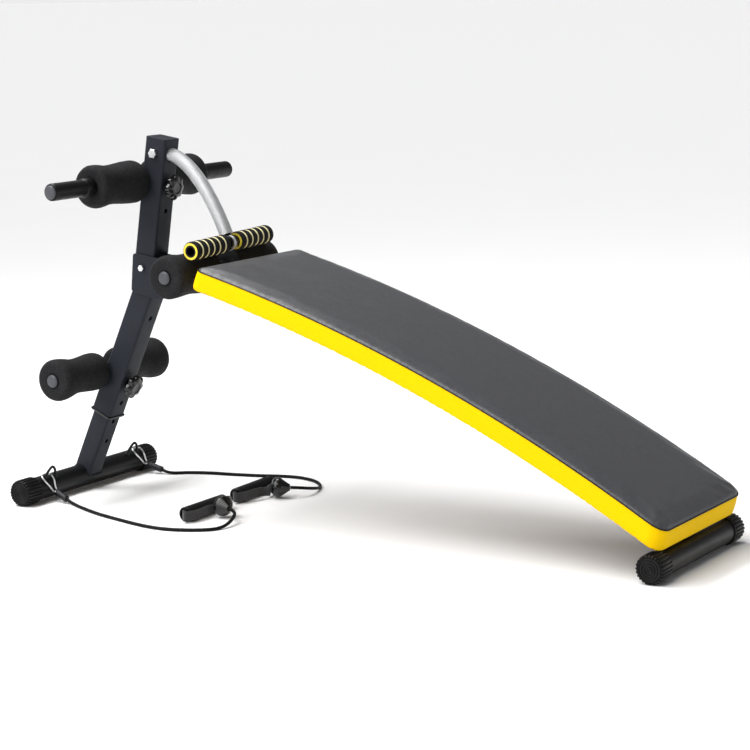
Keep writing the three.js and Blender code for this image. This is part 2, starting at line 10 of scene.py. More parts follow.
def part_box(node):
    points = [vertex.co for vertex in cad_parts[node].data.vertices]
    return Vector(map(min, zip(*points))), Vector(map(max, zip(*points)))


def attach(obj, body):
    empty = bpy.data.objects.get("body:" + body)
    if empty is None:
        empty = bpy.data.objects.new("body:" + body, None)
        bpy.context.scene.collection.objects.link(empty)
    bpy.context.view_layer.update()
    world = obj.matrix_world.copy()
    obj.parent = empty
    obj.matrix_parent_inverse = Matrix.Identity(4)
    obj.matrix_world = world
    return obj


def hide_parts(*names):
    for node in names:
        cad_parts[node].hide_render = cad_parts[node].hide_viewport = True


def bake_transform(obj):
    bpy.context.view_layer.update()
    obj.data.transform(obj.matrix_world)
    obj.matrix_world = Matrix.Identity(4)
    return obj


# The looks of the decline sit-up bench, in metres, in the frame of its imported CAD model.
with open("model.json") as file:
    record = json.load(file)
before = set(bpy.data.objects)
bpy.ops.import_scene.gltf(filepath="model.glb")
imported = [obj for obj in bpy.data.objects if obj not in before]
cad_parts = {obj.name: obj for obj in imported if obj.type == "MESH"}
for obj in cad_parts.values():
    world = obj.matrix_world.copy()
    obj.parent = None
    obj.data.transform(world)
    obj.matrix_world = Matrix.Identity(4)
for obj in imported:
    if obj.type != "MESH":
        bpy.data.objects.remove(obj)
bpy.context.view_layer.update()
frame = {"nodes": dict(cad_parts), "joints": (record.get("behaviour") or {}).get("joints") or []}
JOINTS = {joint["name"]: joint for joint in frame["joints"]}
ACROSS = Vector((0, 1, 0))
SIDES = (("left", -1), ("right", 1))


def node_centre(node):
    low, high = (Vector(corner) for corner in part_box(node))
    return (low + high) / 2


def joint_place(name):
    place = Vector(JOINTS[name]["pos_m"])
    return Vector((place.x, 0, place.z))


def leaning_frame(origin, out):
    """Local X points out of the post's board side, local Y across the bench and local Z up the post."""
    out = Vector(out).normalized()
    up = out.cross(ACROSS)
    axes = Matrix((out, ACROSS, up)).transposed().to_4x4()
    return Matrix.Translation(origin) @ axes


BAR_HEIGHT = node_centre("front_crossbar").z
FRONT = Vector((node_centre("front_crossbar").x, 0, BAR_HEIGHT))
REAR = Vector((node_centre("rear_crossbar").x, 0, BAR_HEIGHT))
LEG = leaning_frame(FRONT, JOINTS["lock_turn"]["axis"])
POST = leaning_frame(joint_place("post_fold"), JOINTS["bar_knob_turn"]["axis"])
HEADING_DOWN_X = Matrix.Rotation(math.radians(-90), 4, "Z")   # turns local Y to local X


def up_the(post, along, out=0.0):
    """A frame at a distance up a post, and out of its middle."""
    return post @ Matrix.Translation((out, 0, along))


def in_scene(name, data):
    obj = bpy.data.objects.new(name, data)
    bpy.context.scene.collection.objects.link(obj)
    return obj


# ---- Sizes ----
CLEARANCE = 0.0003
POST_SIDE = 0.045
POST_WALL = 0.002
INNER_SIDE = 0.038
LOCK_ALONG = 0.2135
LOCK_PITCH = 0.043
SLEEVE_LOW = 0.1418
SLEEVE_HIGH = 0.402
POST_TOP = 0.2416
FOOT_BAR_ALONG = 0.1553
HOOK_ALONG = 0.213
SPARE_HOLE_ALONG = 0.1089
TUBE_RADIUS = 0.0125
BESIDE_POST = -(POST_SIDE / 2 + TUBE_RADIUS) - CLEARANCE
PAD_RADIUS = 3.3597
PAD_CENTRE = Vector((FRONT.x - 0.4598, 0, -2.8335))
PAD_HEAD = math.radians(14.39)
PAD_REAR = math.radians(30.94)
PAD_LENGTH = PAD_RADIUS * (PAD_REAR - PAD_HEAD)
PAD_HALF_WIDTH = 0.160
PAD_THICK = 0.043
HEAD_CORNER = 0.018
REAR_CORNER = 0.027
HEAD_SLANT = 0.005
REAR_SLANT = 0.011
BAND_HEIGHT = 0.0365
BOARD_PIVOT = joint_place("board_fold")
MID_ROLLER = joint_place("mid_spin_left")


# ---- Camera ----
def make_camera():
    heading, dip, roll = math.radians(31.97), math.radians(9.77), math.radians(-1.15)
    forward = Vector((
        -math.sin(heading) * math.cos(dip), math.cos(heading) * math.cos(dip), -math.sin(dip),
    ))
    right = Vector((math.cos(heading), math.sin(heading), 0))
    up = right.cross(forward)
    turned_right = right * math.cos(roll) + up * math.sin(roll)
    turned_up = up * math.cos(roll) - right * math.sin(roll)
    axes = Matrix((turned_right, turned_up, -forward)).transposed().to_4x4()
    data = bpy.data.cameras.new("camera")
    data.lens = 108.58
    data.sensor_width = 36
    camera = in_scene("camera", data)
    camera.matrix_world = Matrix.Translation((2.088, -3.301, 0.9351)) @ axes
    bpy.context.scene.camera = camera


# ---- Materials ----
def scaled(color, share):
    return tuple(channel * share for channel in color)


class Nodes:
    """A material's node tree with short ways to add what these materials share."""

    def __init__(self, name, color, roughness, metallic=0.0):
        self.material = bpy.data.materials.new(name)
        self.material.use_nodes = True
        self.tree = self.material.node_tree
        self.shader = self.tree.nodes["Principled BSDF"]
        self.set("Base Color", (*color, 1))
        self.set("Roughness", roughness)
        self.set("Metallic", metallic)
        self.place = self.tree.nodes.new("ShaderNodeTexCoord").outputs["Object"]

    def set(self, socket, value):
        self.shader.inputs[socket].default_value = value

    def link(self, output, socket):
        self.tree.links.new(output, socket)

    def add(self, kind, values):
        node = self.tree.nodes.new(kind)
        for socket, value in values.items():
            node.inputs[socket].default_value = value
        return node

    def texture(self, kind, **values):
        """A texture laid out in the bench's own metres."""
        node = self.add(kind, values)
        self.link(self.place, node.inputs["Vector"])
        return node

    def noise(self, scale, detail=4.0, roughness=0.6):
        return self.texture(
            "ShaderNodeTexNoise", Scale=scale, Detail=detail, Roughness=roughness,
        ).outputs["Fac"]

    def cells(self, scale):
        return self.texture("ShaderNodeTexVoronoi", Scale=scale).outputs["Distance"]

    def ramp(self, value, low, high):
        spread = self.add("ShaderNodeMapRange", {
            "From Min": 0.3, "From Max": 0.7, "To Min": low, "To Max": high,
        })
        self.link(value, spread.inputs["Value"])
        return spread.outputs["Result"]

    def vary_roughness(self, value, low, high):
        self.link(self.ramp(value, low, high), self.shader.inputs["Roughness"])

    def vary_color(self, value, dark, light):
        mix = self.tree.nodes.new("ShaderNodeMix")
        mix.data_type = "RGBA"
        mix.inputs["A"].default_value = (*dark, 1)
        mix.inputs["B"].default_value = (*light, 1)
        self.link(self.ramp(value, 0, 1), mix.inputs["Factor"])
        self.link(mix.outputs["Result"], self.shader.inputs["Base Color"])

    def bump(self, *layers):
        """Each layer is (height value, strength, distance in metres)."""
        last = None
        for value, strength, distance in layers:
            node = self.add("ShaderNodeBump", {"Strength": strength, "Distance": distance})
            self.link(value, node.inputs["Height"])
            if last is not None:
                self.link(last, node.inputs["Normal"])
            last = node.outputs["Normal"]
        self.link(last, self.shader.inputs["Normal"])


def powder_coat(name, color, roughness, gloss):
    nodes = Nodes(name, color, roughness)
    fine = nodes.noise(900, 3)
    broad = nodes.noise(14, 3)
    nodes.vary_roughness(broad, roughness - 0.05, roughness + 0.07)
    nodes.vary_color(nodes.noise(30, 5), color, scaled(color, 1.15))
    nodes.bump((fine, 0.18, 0.0004))
    nodes.set("Specular IOR Level", gloss)
    return nodes.material


def rubber(name, color, roughness, gloss):
    nodes = Nodes(name, color, roughness)
    nodes.set("Specular IOR Level", gloss)
    nodes.vary_roughness(nodes.noise(60, 5), roughness - 0.08, roughness + 0.1)
    nodes.bump((nodes.noise(1400, 2), 0.25, 0.0003))
    return nodes.material


def foam_rubber(name, color):
    nodes = Nodes(name, color, 0.8)
    speck = nodes.noise(520, 2, 0.7)
    grain = nodes.cells(640)
    lump = nodes.noise(120, 4)
    nodes.vary_color(speck, scaled(color, 0.12), color)
    nodes.vary_roughness(lump, 0.7, 0.9)
    nodes.bump((grain, 0.6, 0.0008), (speck, 0.5, 0.0008), (lump, 0.25, 0.0012))
    nodes.set("Specular IOR Level", 0.16)
    return nodes.material


def vinyl(name, color, roughness, gloss, spread):
    nodes = Nodes(name, color, roughness)
    grain = nodes.cells(750)
    pore = nodes.noise(1600, 3)
    nodes.vary_color(nodes.noise(330, 3), scaled(color, 1 - spread), scaled(color, 1 + spread))
    nodes.vary_roughness(nodes.noise(22, 4), roughness - 0.05, roughness + 0.08)
    nodes.bump((grain, 0.10 + 0.36 * gloss, 0.0005), (pore, 0.15, 0.0003))
    nodes.set("Specular IOR Level", gloss)
    return nodes.material


def plastic(name, color, roughness, gloss=0.4):
    nodes = Nodes(name, color, roughness)
    nodes.set("Specular IOR Level", gloss)
    nodes.vary_roughness(nodes.noise(45, 5), max(roughness - 0.04, 0.05), roughness + 0.08)
    nodes.bump((nodes.noise(1200, 2), 0.08, 0.0002))
    return nodes.material


def steel(name, color, roughness):
    nodes = Nodes(name, color, roughness, metallic=1.0)
    nodes.vary_roughness(nodes.noise(160, 6), roughness - 0.06, roughness + 0.14)
    nodes.bump((nodes.noise(2200, 2), 0.1, 0.0002))
    return nodes.material


def webbing_cloth(name, color):
    nodes = Nodes(name, color, 0.8)
    weave = nodes.texture("ShaderNodeTexWave", Scale=220, Distortion=1.2)
    weave.bands_direction = "DIAGONAL"
    nodes.vary_color(weave.outputs["Fac"], color, scaled(color, 2.2))
    nodes.bump((weave.outputs["Fac"], 0.5, 0.0006))
    nodes.set("Sheen Weight", 0.3)
    return nodes.material


def board_wood(name, color):
    nodes = Nodes(name, color, 0.75)
    grain = nodes.texture("ShaderNodeTexWave", Scale=18, Distortion=9, Detail=4).outputs["Fac"]
    nodes.vary_color(grain, scaled(color, 0.6), color)
    nodes.bump((grain, 0.2, 0.0006))
    return nodes.material


MATERIALS = {
    "post_paint": powder_coat("post_paint", (0.0200, 0.0222, 0.0288), 0.42, 0.10),
    "bar_paint": powder_coat("bar_paint", (0.0060, 0.0062, 0.0070), 0.32, 0.20),
    "black_rubber": rubber("black_rubber", (0.0045, 0.0045, 0.005), 0.42, 0.22),
    "black_foam": foam_rubber("black_foam", (0.024, 0.024, 0.026)),
    "grey_plastic": plastic("grey_plastic", (0.058, 0.061, 0.070), 0.42),
    "black_plastic": plastic("black_plastic", (0.004, 0.004, 0.0045), 0.18, 0.5),
    "bright_steel": steel("bright_steel", (0.78, 0.79, 0.80), 0.28),
    "spring_steel": steel("spring_steel", (0.68, 0.69, 0.70), 0.50),
    "pad_vinyl": vinyl("pad_vinyl", (0.061, 0.062, 0.068), 0.36, 0.55, 0.22),
    "yellow_vinyl": vinyl("yellow_vinyl", (0.92, 0.57, 0.0), 0.6, 0.05, 0.03),
    "plywood": board_wood("plywood", (0.30, 0.20, 0.11)),
    "webbing": webbing_cloth("webbing", (0.012, 0.012, 0.013)),
    "dark_steel": steel("dark_steel", (0.045, 0.045, 0.048), 0.42),
    "rope_sleeve": rubber("rope_sleeve", (0.0035, 0.0035, 0.004), 0.6, 0.15),
    "stripe": plastic("stripe", (0.98, 0.90, 0.50), 0.6),
    "yellow_foam": plastic("yellow_foam", (0.95, 0.76, 0.06), 0.6),
}


# ---- Mesh helpers ----
def mesh_object(name, points, faces, sharp=35):
    mesh = bpy.data.meshes.new(name)
    mesh.from_pydata([tuple(point) for point in points], [], faces)
    mesh.update()
    bm = bmesh.new()
    bm.from_mesh(mesh)
    bmesh.ops.recalc_face_normals(bm, faces=bm.faces)
    bm.to_mesh(mesh)
    bm.free()
    shade(mesh, sharp)
    return in_scene(name, mesh)


def shade(mesh, sharp):
    mesh.shade_smooth()
    mesh.set_sharp_from_angle(angle=math.radians(sharp))


def settle(obj, matrix):
    """Puts a piece's place into its vertices, so that object coordinates are the bench's own."""
    obj.data.transform(matrix)
    obj.data.update()
    return obj


def settle_side(obj, sign, matrix):
    """Settles a piece that was made for the right side, turned round first when it is for the left."""
    if sign < 0:
        settle(obj, Matrix.Rotation(math.pi, 4, "X"))
    return settle(obj, matrix)


def apply_modifiers(obj, sharp=35):
    evaluated = obj.evaluated_get(bpy.context.evaluated_depsgraph_get())
    mesh = bpy.data.meshes.new_from_object(evaluated)
    obj.modifiers.clear()
    obj.data = mesh
    shade(mesh, sharp)
    return obj


def cut_with(obj, *cutters, operation="DIFFERENCE"):
    for cutter in cutters:
        modifier = obj.modifiers.new("cut", "BOOLEAN")
        modifier.operation = operation
        modifier.solver = "EXACT"
        modifier.object = cutter
    bpy.context.view_layer.update()
    apply_modifiers(obj)
    for cutter in cutters:
        bpy.data.objects.remove(cutter)
    return obj


def soften(obj, width, segments=3, angle=40):
    bevel = obj.modifiers.new("soften", "BEVEL")
    bevel.width = width
    bevel.segments = segments
    bevel.limit_method = "ANGLE"
    bevel.angle_limit = math.radians(angle)
    bevel.harden_normals = True
    return obj


def joined(name, pieces):
    """One piece made of several, which keep their own faces."""
    bm = bmesh.new()
    for obj in pieces:
        bm.from_mesh(obj.data)
    mesh = bpy.data.meshes.new(name)
    bm.to_mesh(mesh)
    bm.free()
    for obj in pieces:
        bpy.data.objects.remove(obj)
    shade(mesh, 35)
    return in_scene(name, mesh)


def show(obj, body, material, *nodes):
    """Gives a piece its material and its body, and hides the CAD nodes it stands for."""
    obj.data.materials.clear()
    obj.data.materials.append(MATERIALS[material])
    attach(obj, body)
    if nodes:
        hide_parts(*nodes)
    return obj


def stitched(rows, closed=False):
    """Faces between successive rows of point numbers. A row of one point is a pole."""
    pairs = list(zip(rows, rows[1:]))
    if closed:
        pairs.append((rows[-1], rows[0]))
    faces = []
    for one, two in pairs:
        size = max(len(one), len(two))
        for step in range(size if len(one) + len(two) > 2 else 0):
            after = (step + 1) % size
            if len(one) == 1:
                faces.append((one[0], two[step], two[after]))
            elif len(two) == 1:
                faces.append((one[step], one[after], two[0]))
            else:
                faces.append((one[step], one[after], two[after], two[step]))
    return faces


def rows_of(size, count):
    """The point numbers of a stack of equal rings."""
    return [list(range(size * row, size * (row + 1))) for row in range(count)]


def revolve(name, profile, segments=64, closed=False, reach=None, sharp=35):
    """Turns (radius, y) pairs about local Y. reach(radius, index, angle) can shape the radius."""
    points, rows = [], []
    for index, (radius, y) in enumerate(profile):
        if radius < 1e-7:
            rows.append([len(points)])
            points.append((0, y, 0))
            continue
        rows.append(list(range(len(points), len(points) + segments)))
        for step in range(segments):
            angle = 2 * math.pi * step / segments
            wide = reach(radius, index, angle) if reach else radius
            points.append((wide * math.cos(angle), y, wide * math.sin(angle)))
    return mesh_object(name, points, stitched(rows, closed), sharp)


def rounded_corner(before, corner, after, radius, share, steps):
    """A curve in place of a corner, that takes up at most a share of each side."""
    a, b, c = Vector(before), Vector(corner), Vector(after)
    reach = min(radius, (a - b).length * share, (c - b).length * share)
    start = b + (a - b).normalized() * reach
    end = b + (c - b).normalized() * reach
    curve = []
    for step in range(steps + 1):
        t = step / steps
        curve.append(tuple(start * (1 - t) ** 2 + b * 2 * t * (1 - t) + end * t ** 2))
    return curve


def rounded_profile(corners, radius, steps=5):
    """Rounds each corner of an open (radius, y) outline."""
    result = [corners[0]]
    for before, corner, after in zip(corners, corners[1:], corners[2:]):
        result += rounded_corner(before, corner, after, radius, 0.49, steps)
    return [*result, corners[-1]]


def smooth_path(points, per_span=8):
    """A Catmull-Rom curve through given points."""
    points = [Vector(point) for point in points]
    ends = [points[0] * 2 - points[1], *points, points[-1] * 2 - points[-2]]
    path = []
    for a, b, c, d in zip(ends, ends[1:], ends[2:], ends[3:]):
        for step in range(per_span):
            t = step / per_span
            path.append(0.5 * (
                2 * b + (c - a) * t + (2 * a - 5 * b + 4 * c - d) * t ** 2
                + (3 * b - a - 3 * c + d) * t ** 3
            ))
    path.append(points[-1])
    return path


def path_length(path):
    return sum((two - one).length for one, two in zip(path, path[1:]))


def evenly(path, count):
    """The same path with count + 1 points evenly spaced along it."""
    lengths = [0.0]
    for one, two in zip(path, path[1:]):
        lengths.append(lengths[-1] + (two - one).length)
    result, span = [], 0
    for step in range(count + 1):
        target = lengths[-1] * step / count
        while span < len(path) - 2 and lengths[span + 1] < target:
            span += 1
        part = (target - lengths[span]) / max(lengths[span + 1] - lengths[span], 1e-9)
        result.append(path[span].lerp(path[span + 1], min(max(part, 0), 1)))
    return result


def travelling_frames(path, closed=False):
    """A tangent and two cross directions at each point, turning as little as possible."""
    count = len(path)
    tangents = []
    for index in range(count):
        before = path[index - 1] if closed or index else path[0]
        after = path[(index + 1) % count] if closed or index < count - 1 else path[-1]
        tangents.append((after - before).normalized())
    first = Vector((0, 0, 1)) if abs(tangents[0].z) < 0.9 else Vector((0, 1, 0))
    side = tangents[0].cross(first).normalized()
    frames = []
    for tangent in tangents:
        side = (side - tangent * side.dot(tangent)).normalized()
        frames.append((tangent, side, tangent.cross(side)))
    return frames


def sweep(name, path, section, closed=False, sharp=50):
    """Carries section(index), a list of (side, up) pairs, along a path."""
    frames = travelling_frames(path, closed)
    points, rings = [], []
    for index, (centre, (_, side, up)) in enumerate(zip(path, frames)):
        outline = section(index)
        rings.append(list(range(len(points), len(points) + len(outline))))
        points += [centre + side * a + up * b for a, b in outline]
    faces = stitched(rings, closed)
    if not closed:
        faces += [tuple(reversed(rings[0])), tuple(rings[-1])]
    return mesh_object(name, points, faces, sharp)


def circle(radius, sides):
    return [
        (radius * math.cos(2 * math.pi * k / sides), radius * math.sin(2 * math.pi * k / sides))
        for k in range(sides)
    ]


def wire(name, path, radius, sides=12, closed=False):
    ring = circle(radius, sides)
    return sweep(name, path, lambda index: ring, closed)


def weld(name, path, radius, closed=True):
    """A weld bead: overlapping scallops along a seam."""
    path = evenly(path + [path[0]] if closed else path, 2 * round(path_length(path) / 0.0011))
    if closed:
        path = path[:-1]
    generator = random.Random(len(path))
    sizes = [radius * (1 + 0.10 * math.cos(index * math.pi / 2) + generator.uniform(-0.05, 0.05))
             for index in range(len(path))]
    return sweep(name, path, lambda index: circle(sizes[index], 8), closed, 80)


def rounded_square(side, corner, steps=6):
    half = side / 2 - corner
    outline = []
    for quarter, (x, y) in enumerate(((half, half), (-half, half), (-half, -half), (half, -half))):
        for step in range(steps + 1):
            angle = math.pi / 2 * (quarter + step / steps)
            outline.append((x + corner * math.cos(angle), y + corner * math.sin(angle)))
    return outline


def square_tube(name, side, wall, corner, low, high, lid=False):
    """A square tube along local Z, open at its ends, or closed at the top with a lid."""
    outer = rounded_square(side, corner)
    bore = rounded_square(side - 2 * wall, max(corner - wall, 0.0008))
    lip = 0.0004
    rims = [(outer, low + lip, 1), (outer, high - lip, 1)]
    scale = 1 - 2 * lip / side
    if lid:
        levels = [(outer, low, scale), *rims, (outer, high, scale), (bore, high - wall, 0.97),
                  (bore, low, 1)]
    else:
        levels = [(outer, low, scale), *rims, (outer, high, scale), (bore, high, 1), (bore, low, 1)]
    points = []
    for outline, z, shrink in levels:
        points += [(x * shrink, y * shrink, z) for x, y in outline]
    rows = rows_of(len(outer), len(levels))
    if not lid:
        return mesh_object(name, points, stitched(rows, closed=True), 30)
    outside, inside = rows[:4], rows[4:]
    faces = stitched(outside) + [tuple(outside[-1]), tuple(reversed(inside[0]))]
    faces += stitched([*inside, outside[0]])
    return mesh_object(name, points, faces, 30)


def drill(radius, along, low, high, direction="X"):
    """A round cutter through a post, along local X or Y."""
    cutter = revolve("cutter", [(0, low), (radius, low), (radius, high), (0, high)], 32)
    if direction == "X":
        settle(cutter, HEADING_DOWN_X)
    return settle(cutter, Matrix.Translation((0, 0, along)))


def plate(name, outline, low, high, corner=0.0):
    """An (x, z) outline given thickness across the bench, with rounded outline corners."""
    if corner:
        outline = rounded_loop(outline, corner)
    count = len(outline)
    points = [(x, low, z) for x, z in outline] + [(x, high, z) for x, z in outline]
    faces = [tuple(range(count)), tuple(reversed(range(count, 2 * count)))]
    faces += [(k, (k + 1) % count, count + (k + 1) % count, count + k) for k in range(count)]
    return mesh_object(name, points, faces, 30)


def rounded_loop(corners, radius, steps=6):
    """Rounds each corner of a closed (x, z) outline."""
    result = []
    for index, corner in enumerate(corners):
        after = corners[(index + 1) % len(corners)]
        result += rounded_corner(corners[index - 1], corner, after, radius, 0.45, steps)
    return result


# ---- Ropes: settled first, with the camera ----
ROPE_RADIUS = 0.003
FERRULE_LENGTH = 0.033
ROPE_ROUTES = {   # millimetres from the floor under the front foot's middle
    "left": [
        (62.5, -134.7, 8.3), (73.6, -138, 5.2), (89.6, -144.5, 3.4), (111, -155.5, 3.2),
        (145, -171, 3.2), (180, -184.5, 3.2), (239, -202, 3.2), (294, -216, 3.2), (332, -221, 3.2),
        (362, -218.5, 3.2), (387, -211, 3.2), (407, -201, 3.2), (422, -190.5, 3.2),
        (431.5, -178.5, 3.2), (436, -165.5, 4), (437.5, -153.5, 6), (437, -142.5, 8.7),
        (435, -131, 11.8), (431.3, -120.5, 14.9), (425.5, -112, 17.6), (417, -105.8, 19.3),
        (407.6, -101.4, 20),
    ],
    "right": [
        (63.5, 156, 8.2), (75, 157, 4.9), (86, 162, 3.4), (98, 170, 3.2), (112, 179.5, 3.2),
        (149, 194, 3.2), (198, 204, 3.2), (249, 217, 3.2), (293, 233, 3.2), (330, 238, 3.2),
        (364, 230, 3.2), (385, 217.5, 3.2), (399, 204.5, 3.2), (409, 191.5, 3.4), (416, 178, 4),
        (420.5, 164, 6.3), (424, 150, 9), (425.5, 135.5, 12), (425, 121.5, 15), (420.8, 110, 17.5),
        (414, 101.6, 19), (405.6, 95.9, 19.5),
    ],
}


def rope_points(side):
    return [Vector((FRONT.x + x / 1000, y / 1000, z / 1000)) for x, y, z in ROPE_ROUTES[side]]


def rope_start(side):
    """Where a rope leaves its ferrule, and which way."""
    first, second = rope_points(side)[:2]
    return first, (second - first).normalized()


def rope_curve(side):
    path = smooth_path(rope_points(side))
    data = bpy.data.curves.new(f"rope_{side}", "CURVE")
    data.dimensions = "3D"
    data.bevel_depth = ROPE_RADIUS
    data.bevel_resolution = 5
    data.use_fill_caps = True
    spline = data.splines.new("POLY")
    spline.points.add(len(path) - 1)
    for point, place in zip(spline.points, path):
        point.co = (*place, 1)
        point.radius = 1
    rope = show(in_scene(f"rope_{side}_cord", data), "front_foot", "rope_sleeve", f"rope_{side}")
    return rope, path


def towards(direction):
    """A matrix that turns local Y to a direction."""
    return ACROSS.rotation_difference(direction).to_matrix().to_4x4()


def rope_ferrule(side):
    """A stout crimped sleeve with shallow rings, and the small loop of cord out of its mouth."""
    first, direction = rope_start(side)
    rings = 7
    profile = [(0, -CLEARANCE)]
    for step in range(49):
        part = step / 48
        ends = 0.0012 * (max(0, 0.08 - part) + max(0, part - 0.92)) / 0.08
        ring = 0.0003 * math.cos(2 * math.pi * rings * part)
        profile.append((0.0060 - ends - ring, -CLEARANCE - part * FERRULE_LENGTH))
    profile.append((0, -CLEARANCE - FERRULE_LENGTH))
    sleeve = revolve("sleeve", profile, 40)
    settle(sleeve, Matrix.Translation(first) @ towards(direction))
    raised = direction.cross(ACROSS).normalized()
    half = [(-0.003, 0.0016), (0.003, 0.0028), (0.0085, 0.0024), (0.0112, 0.0)]
    route = [*half, *((back, -height) for back, height in reversed(half[:-1]))]
    route = [first - direction * (FERRULE_LENGTH + back) + raised * height for back, height in route]
    loop = wire("loop", smooth_path(route, 6), 0.0016, 12)
    ferrule = joined(f"rope_{side}_ferrule", [sleeve, loop])
    return show(ferrule, "front_foot", "dark_steel", f"rope_ferrule_{side}")


EYE_ACROSS = 0.124


def rope_eye(side, sign):
    """A bent rod welded to the crossbar, with a bead at each foot."""
    middle = sign * EYE_ACROSS
    route = [
        (0.0100, -0.015, 0.017), (0.0122, -0.0125, 0.021), (0.0145, -0.008, 0.0275),
        (0.0172, -0.001, 0.0360), (0.0182, 0.0045, 0.0385), (0.0178, 0.0105, 0.0340),
        (0.0158, 0.0140, 0.025), (0.0140, 0.015, 0.016),
    ]
    path = smooth_path([FRONT + Vector((x, middle + y, z)) for x, y, z in route], 6)
    rod = wire("rod", path, 0.0025, 16)
    beads = [
        weld("bead", [FRONT + Vector((x + a, middle + y + b, z)) for a, b in circle(0.0034, 12)], 0.0014)
        for x, y, z in ((0.0118, -0.0133, 0.0195), (0.0147, 0.0150, 0.0172))
    ]
    eye = joined(f"rope_{side}_eye", [rod, *beads])
    return show(eye, "front_foot", "bar_paint", f"rope_eye_{side}")


def rope_link(side, sign):
    """A bent wire round the eye's outer leg that the cord's loop is threaded through."""
    first, direction = rope_start(side)
    tip = first - direction * (FERRULE_LENGTH + 0.0046)
    mouth = first - direction * (FERRULE_LENGTH + 0.0075)
    spread = ACROSS * 0.0036 * sign
    eye_leg = sign * EYE_ACROSS + (-0.0075 if sign < 0 else 0.0134)
    outside = FRONT + Vector((0.014, eye_leg + 0.014 * sign, 0.0236))
    within = FRONT + Vector((0.014, eye_leg - 0.010 * sign, 0.0246))
    forward = Vector((0.007, 0, -0.0075))
    back = [FRONT + Vector((0.010, eye_leg + y * sign, 0.0256)) for y in (0.006, -0.004)]
    route = [
        tip, mouth + spread, (mouth + spread).lerp(outside + forward, 0.5), outside + forward,
        outside, *back, within, within + forward, (mouth - spread).lerp(within + forward, 0.5),
        mouth - spread, tip,
    ]
    link = wire(f"rope_{side}_link", smooth_path(route, 6), 0.0017, 12)
    return show(link, "front_foot", "bright_steel", f"rope_link_{side}")


def rope_stopper(side):
    """A glossy dome with a ribbed cone down to the rope."""
    tip, before = reversed(rope_points(side)[-2:])
    direction = (before - tip).normalized()
    radius, back, front = 0.019, 0.013, 0.022
    corners = [
        (0, -back), (0.42 * radius, -back), (0.80 * radius, -0.74 * back), (0.96 * radius, -0.34 * back),
        (radius, 0.0008), (0.93 * radius, 0.0042), (0.36 * radius, front - 0.0022), (0.30 * radius, front),
        (0.0034, front), (0.0034, front - 0.004), (0, front - 0.004),
    ]
    profile = rounded_profile(corners, 0.0016, 4)

    def ribbed(wide, index, angle):
        y = profile[index][1]
        share = max(0.0, min(1.0, (y - 0.005) / 0.004)) if wide > 0.0042 else 0.0
        return wide * (1 - 0.035 * share * (0.5 - 0.5 * math.cos(16 * angle)))

    stopper = revolve(f"rope_{side}_stopper", profile, 96, reach=ribbed, sharp=50)
    settle(stopper, Matrix.Translation(tip - direction * (front + CLEARANCE)) @ towards(direction))
    return show(stopper, "front_foot", "black_plastic", f"rope_stopper_{side}")


GRIP_RADIUS = 0.0135


def rope_grip(side):
    """A hollow hand grip with close ribs round it and a rolled lip at each end."""
    place = node_centre(f"rope_grip_{side}")
    half, bore, turn = 0.058, 0.010, 0.0 if side == "left" else 2.75
    ribs = 22
    outer = []
    for step in range(ribs * 6 + 1):
        y = -half + 0.004 + step / (ribs * 6) * (2 * half - 0.008)
        outer.append((GRIP_RADIUS - 0.0006 + 0.0006 * abs(math.cos(math.pi * step / 6)), y))
    lip = 0.0016
    profile = [
        (bore, -half + lip / 2), (bore + 0.0006, -half), (GRIP_RADIUS - 0.0008, -half),
        (GRIP_RADIUS, -half + 0.0008), (GRIP_RADIUS, -half + 0.0032), *outer,
        (GRIP_RADIUS, half - 0.0032), (GRIP_RADIUS, half - 0.0008), (GRIP_RADIUS - 0.0008, half),
        (bore + 0.0006, half), (bore, half - lip / 2),
    ]
    grip = revolve(f"rope_{side}_grip", profile, 56, closed=True, sharp=60)
    settle(grip, Matrix.Translation(place) @ Matrix.Rotation(math.radians(turn), 4, "Z"))
    return show(grip, "front_foot", "black_rubber", f"rope_grip_{side}")


STRAP_ROUTES = {   # millimetres along and across, from the front foot's middle
    "left": [
        (374.2, -84.1), (369, -78), (366.5, -66), (364.5, -50), (360, -31), (352.5, -22.5),
        (346.5, -26), (345, -36), (345, -66), (345, -92), (345, -120), (345, -147), (346.5, -158),
        (353, -162.5), (359.5, -157), (361.5, -143), (362, -120), (362.5, -103), (366.5, -93),
        (373.1, -87),
    ],
    "right": [
        (373.4, 76.3), (366.5, 78), (363.5, 86), (360.5, 104), (354, 126), (347, 138.5), (339, 142.5),
        (333.4, 138), (332.5, 128), (333.8, 100), (335, 74.5), (336.3, 48), (337.7, 20), (338.5, 9),
        (343, 3), (350, 5.5), (354, 16), (357, 36), (361, 56), (366.5, 67.5), (375.2, 73.5),
    ],
}
STRAP_WIDTH = 0.017
STRAP_THICK = 0.0018


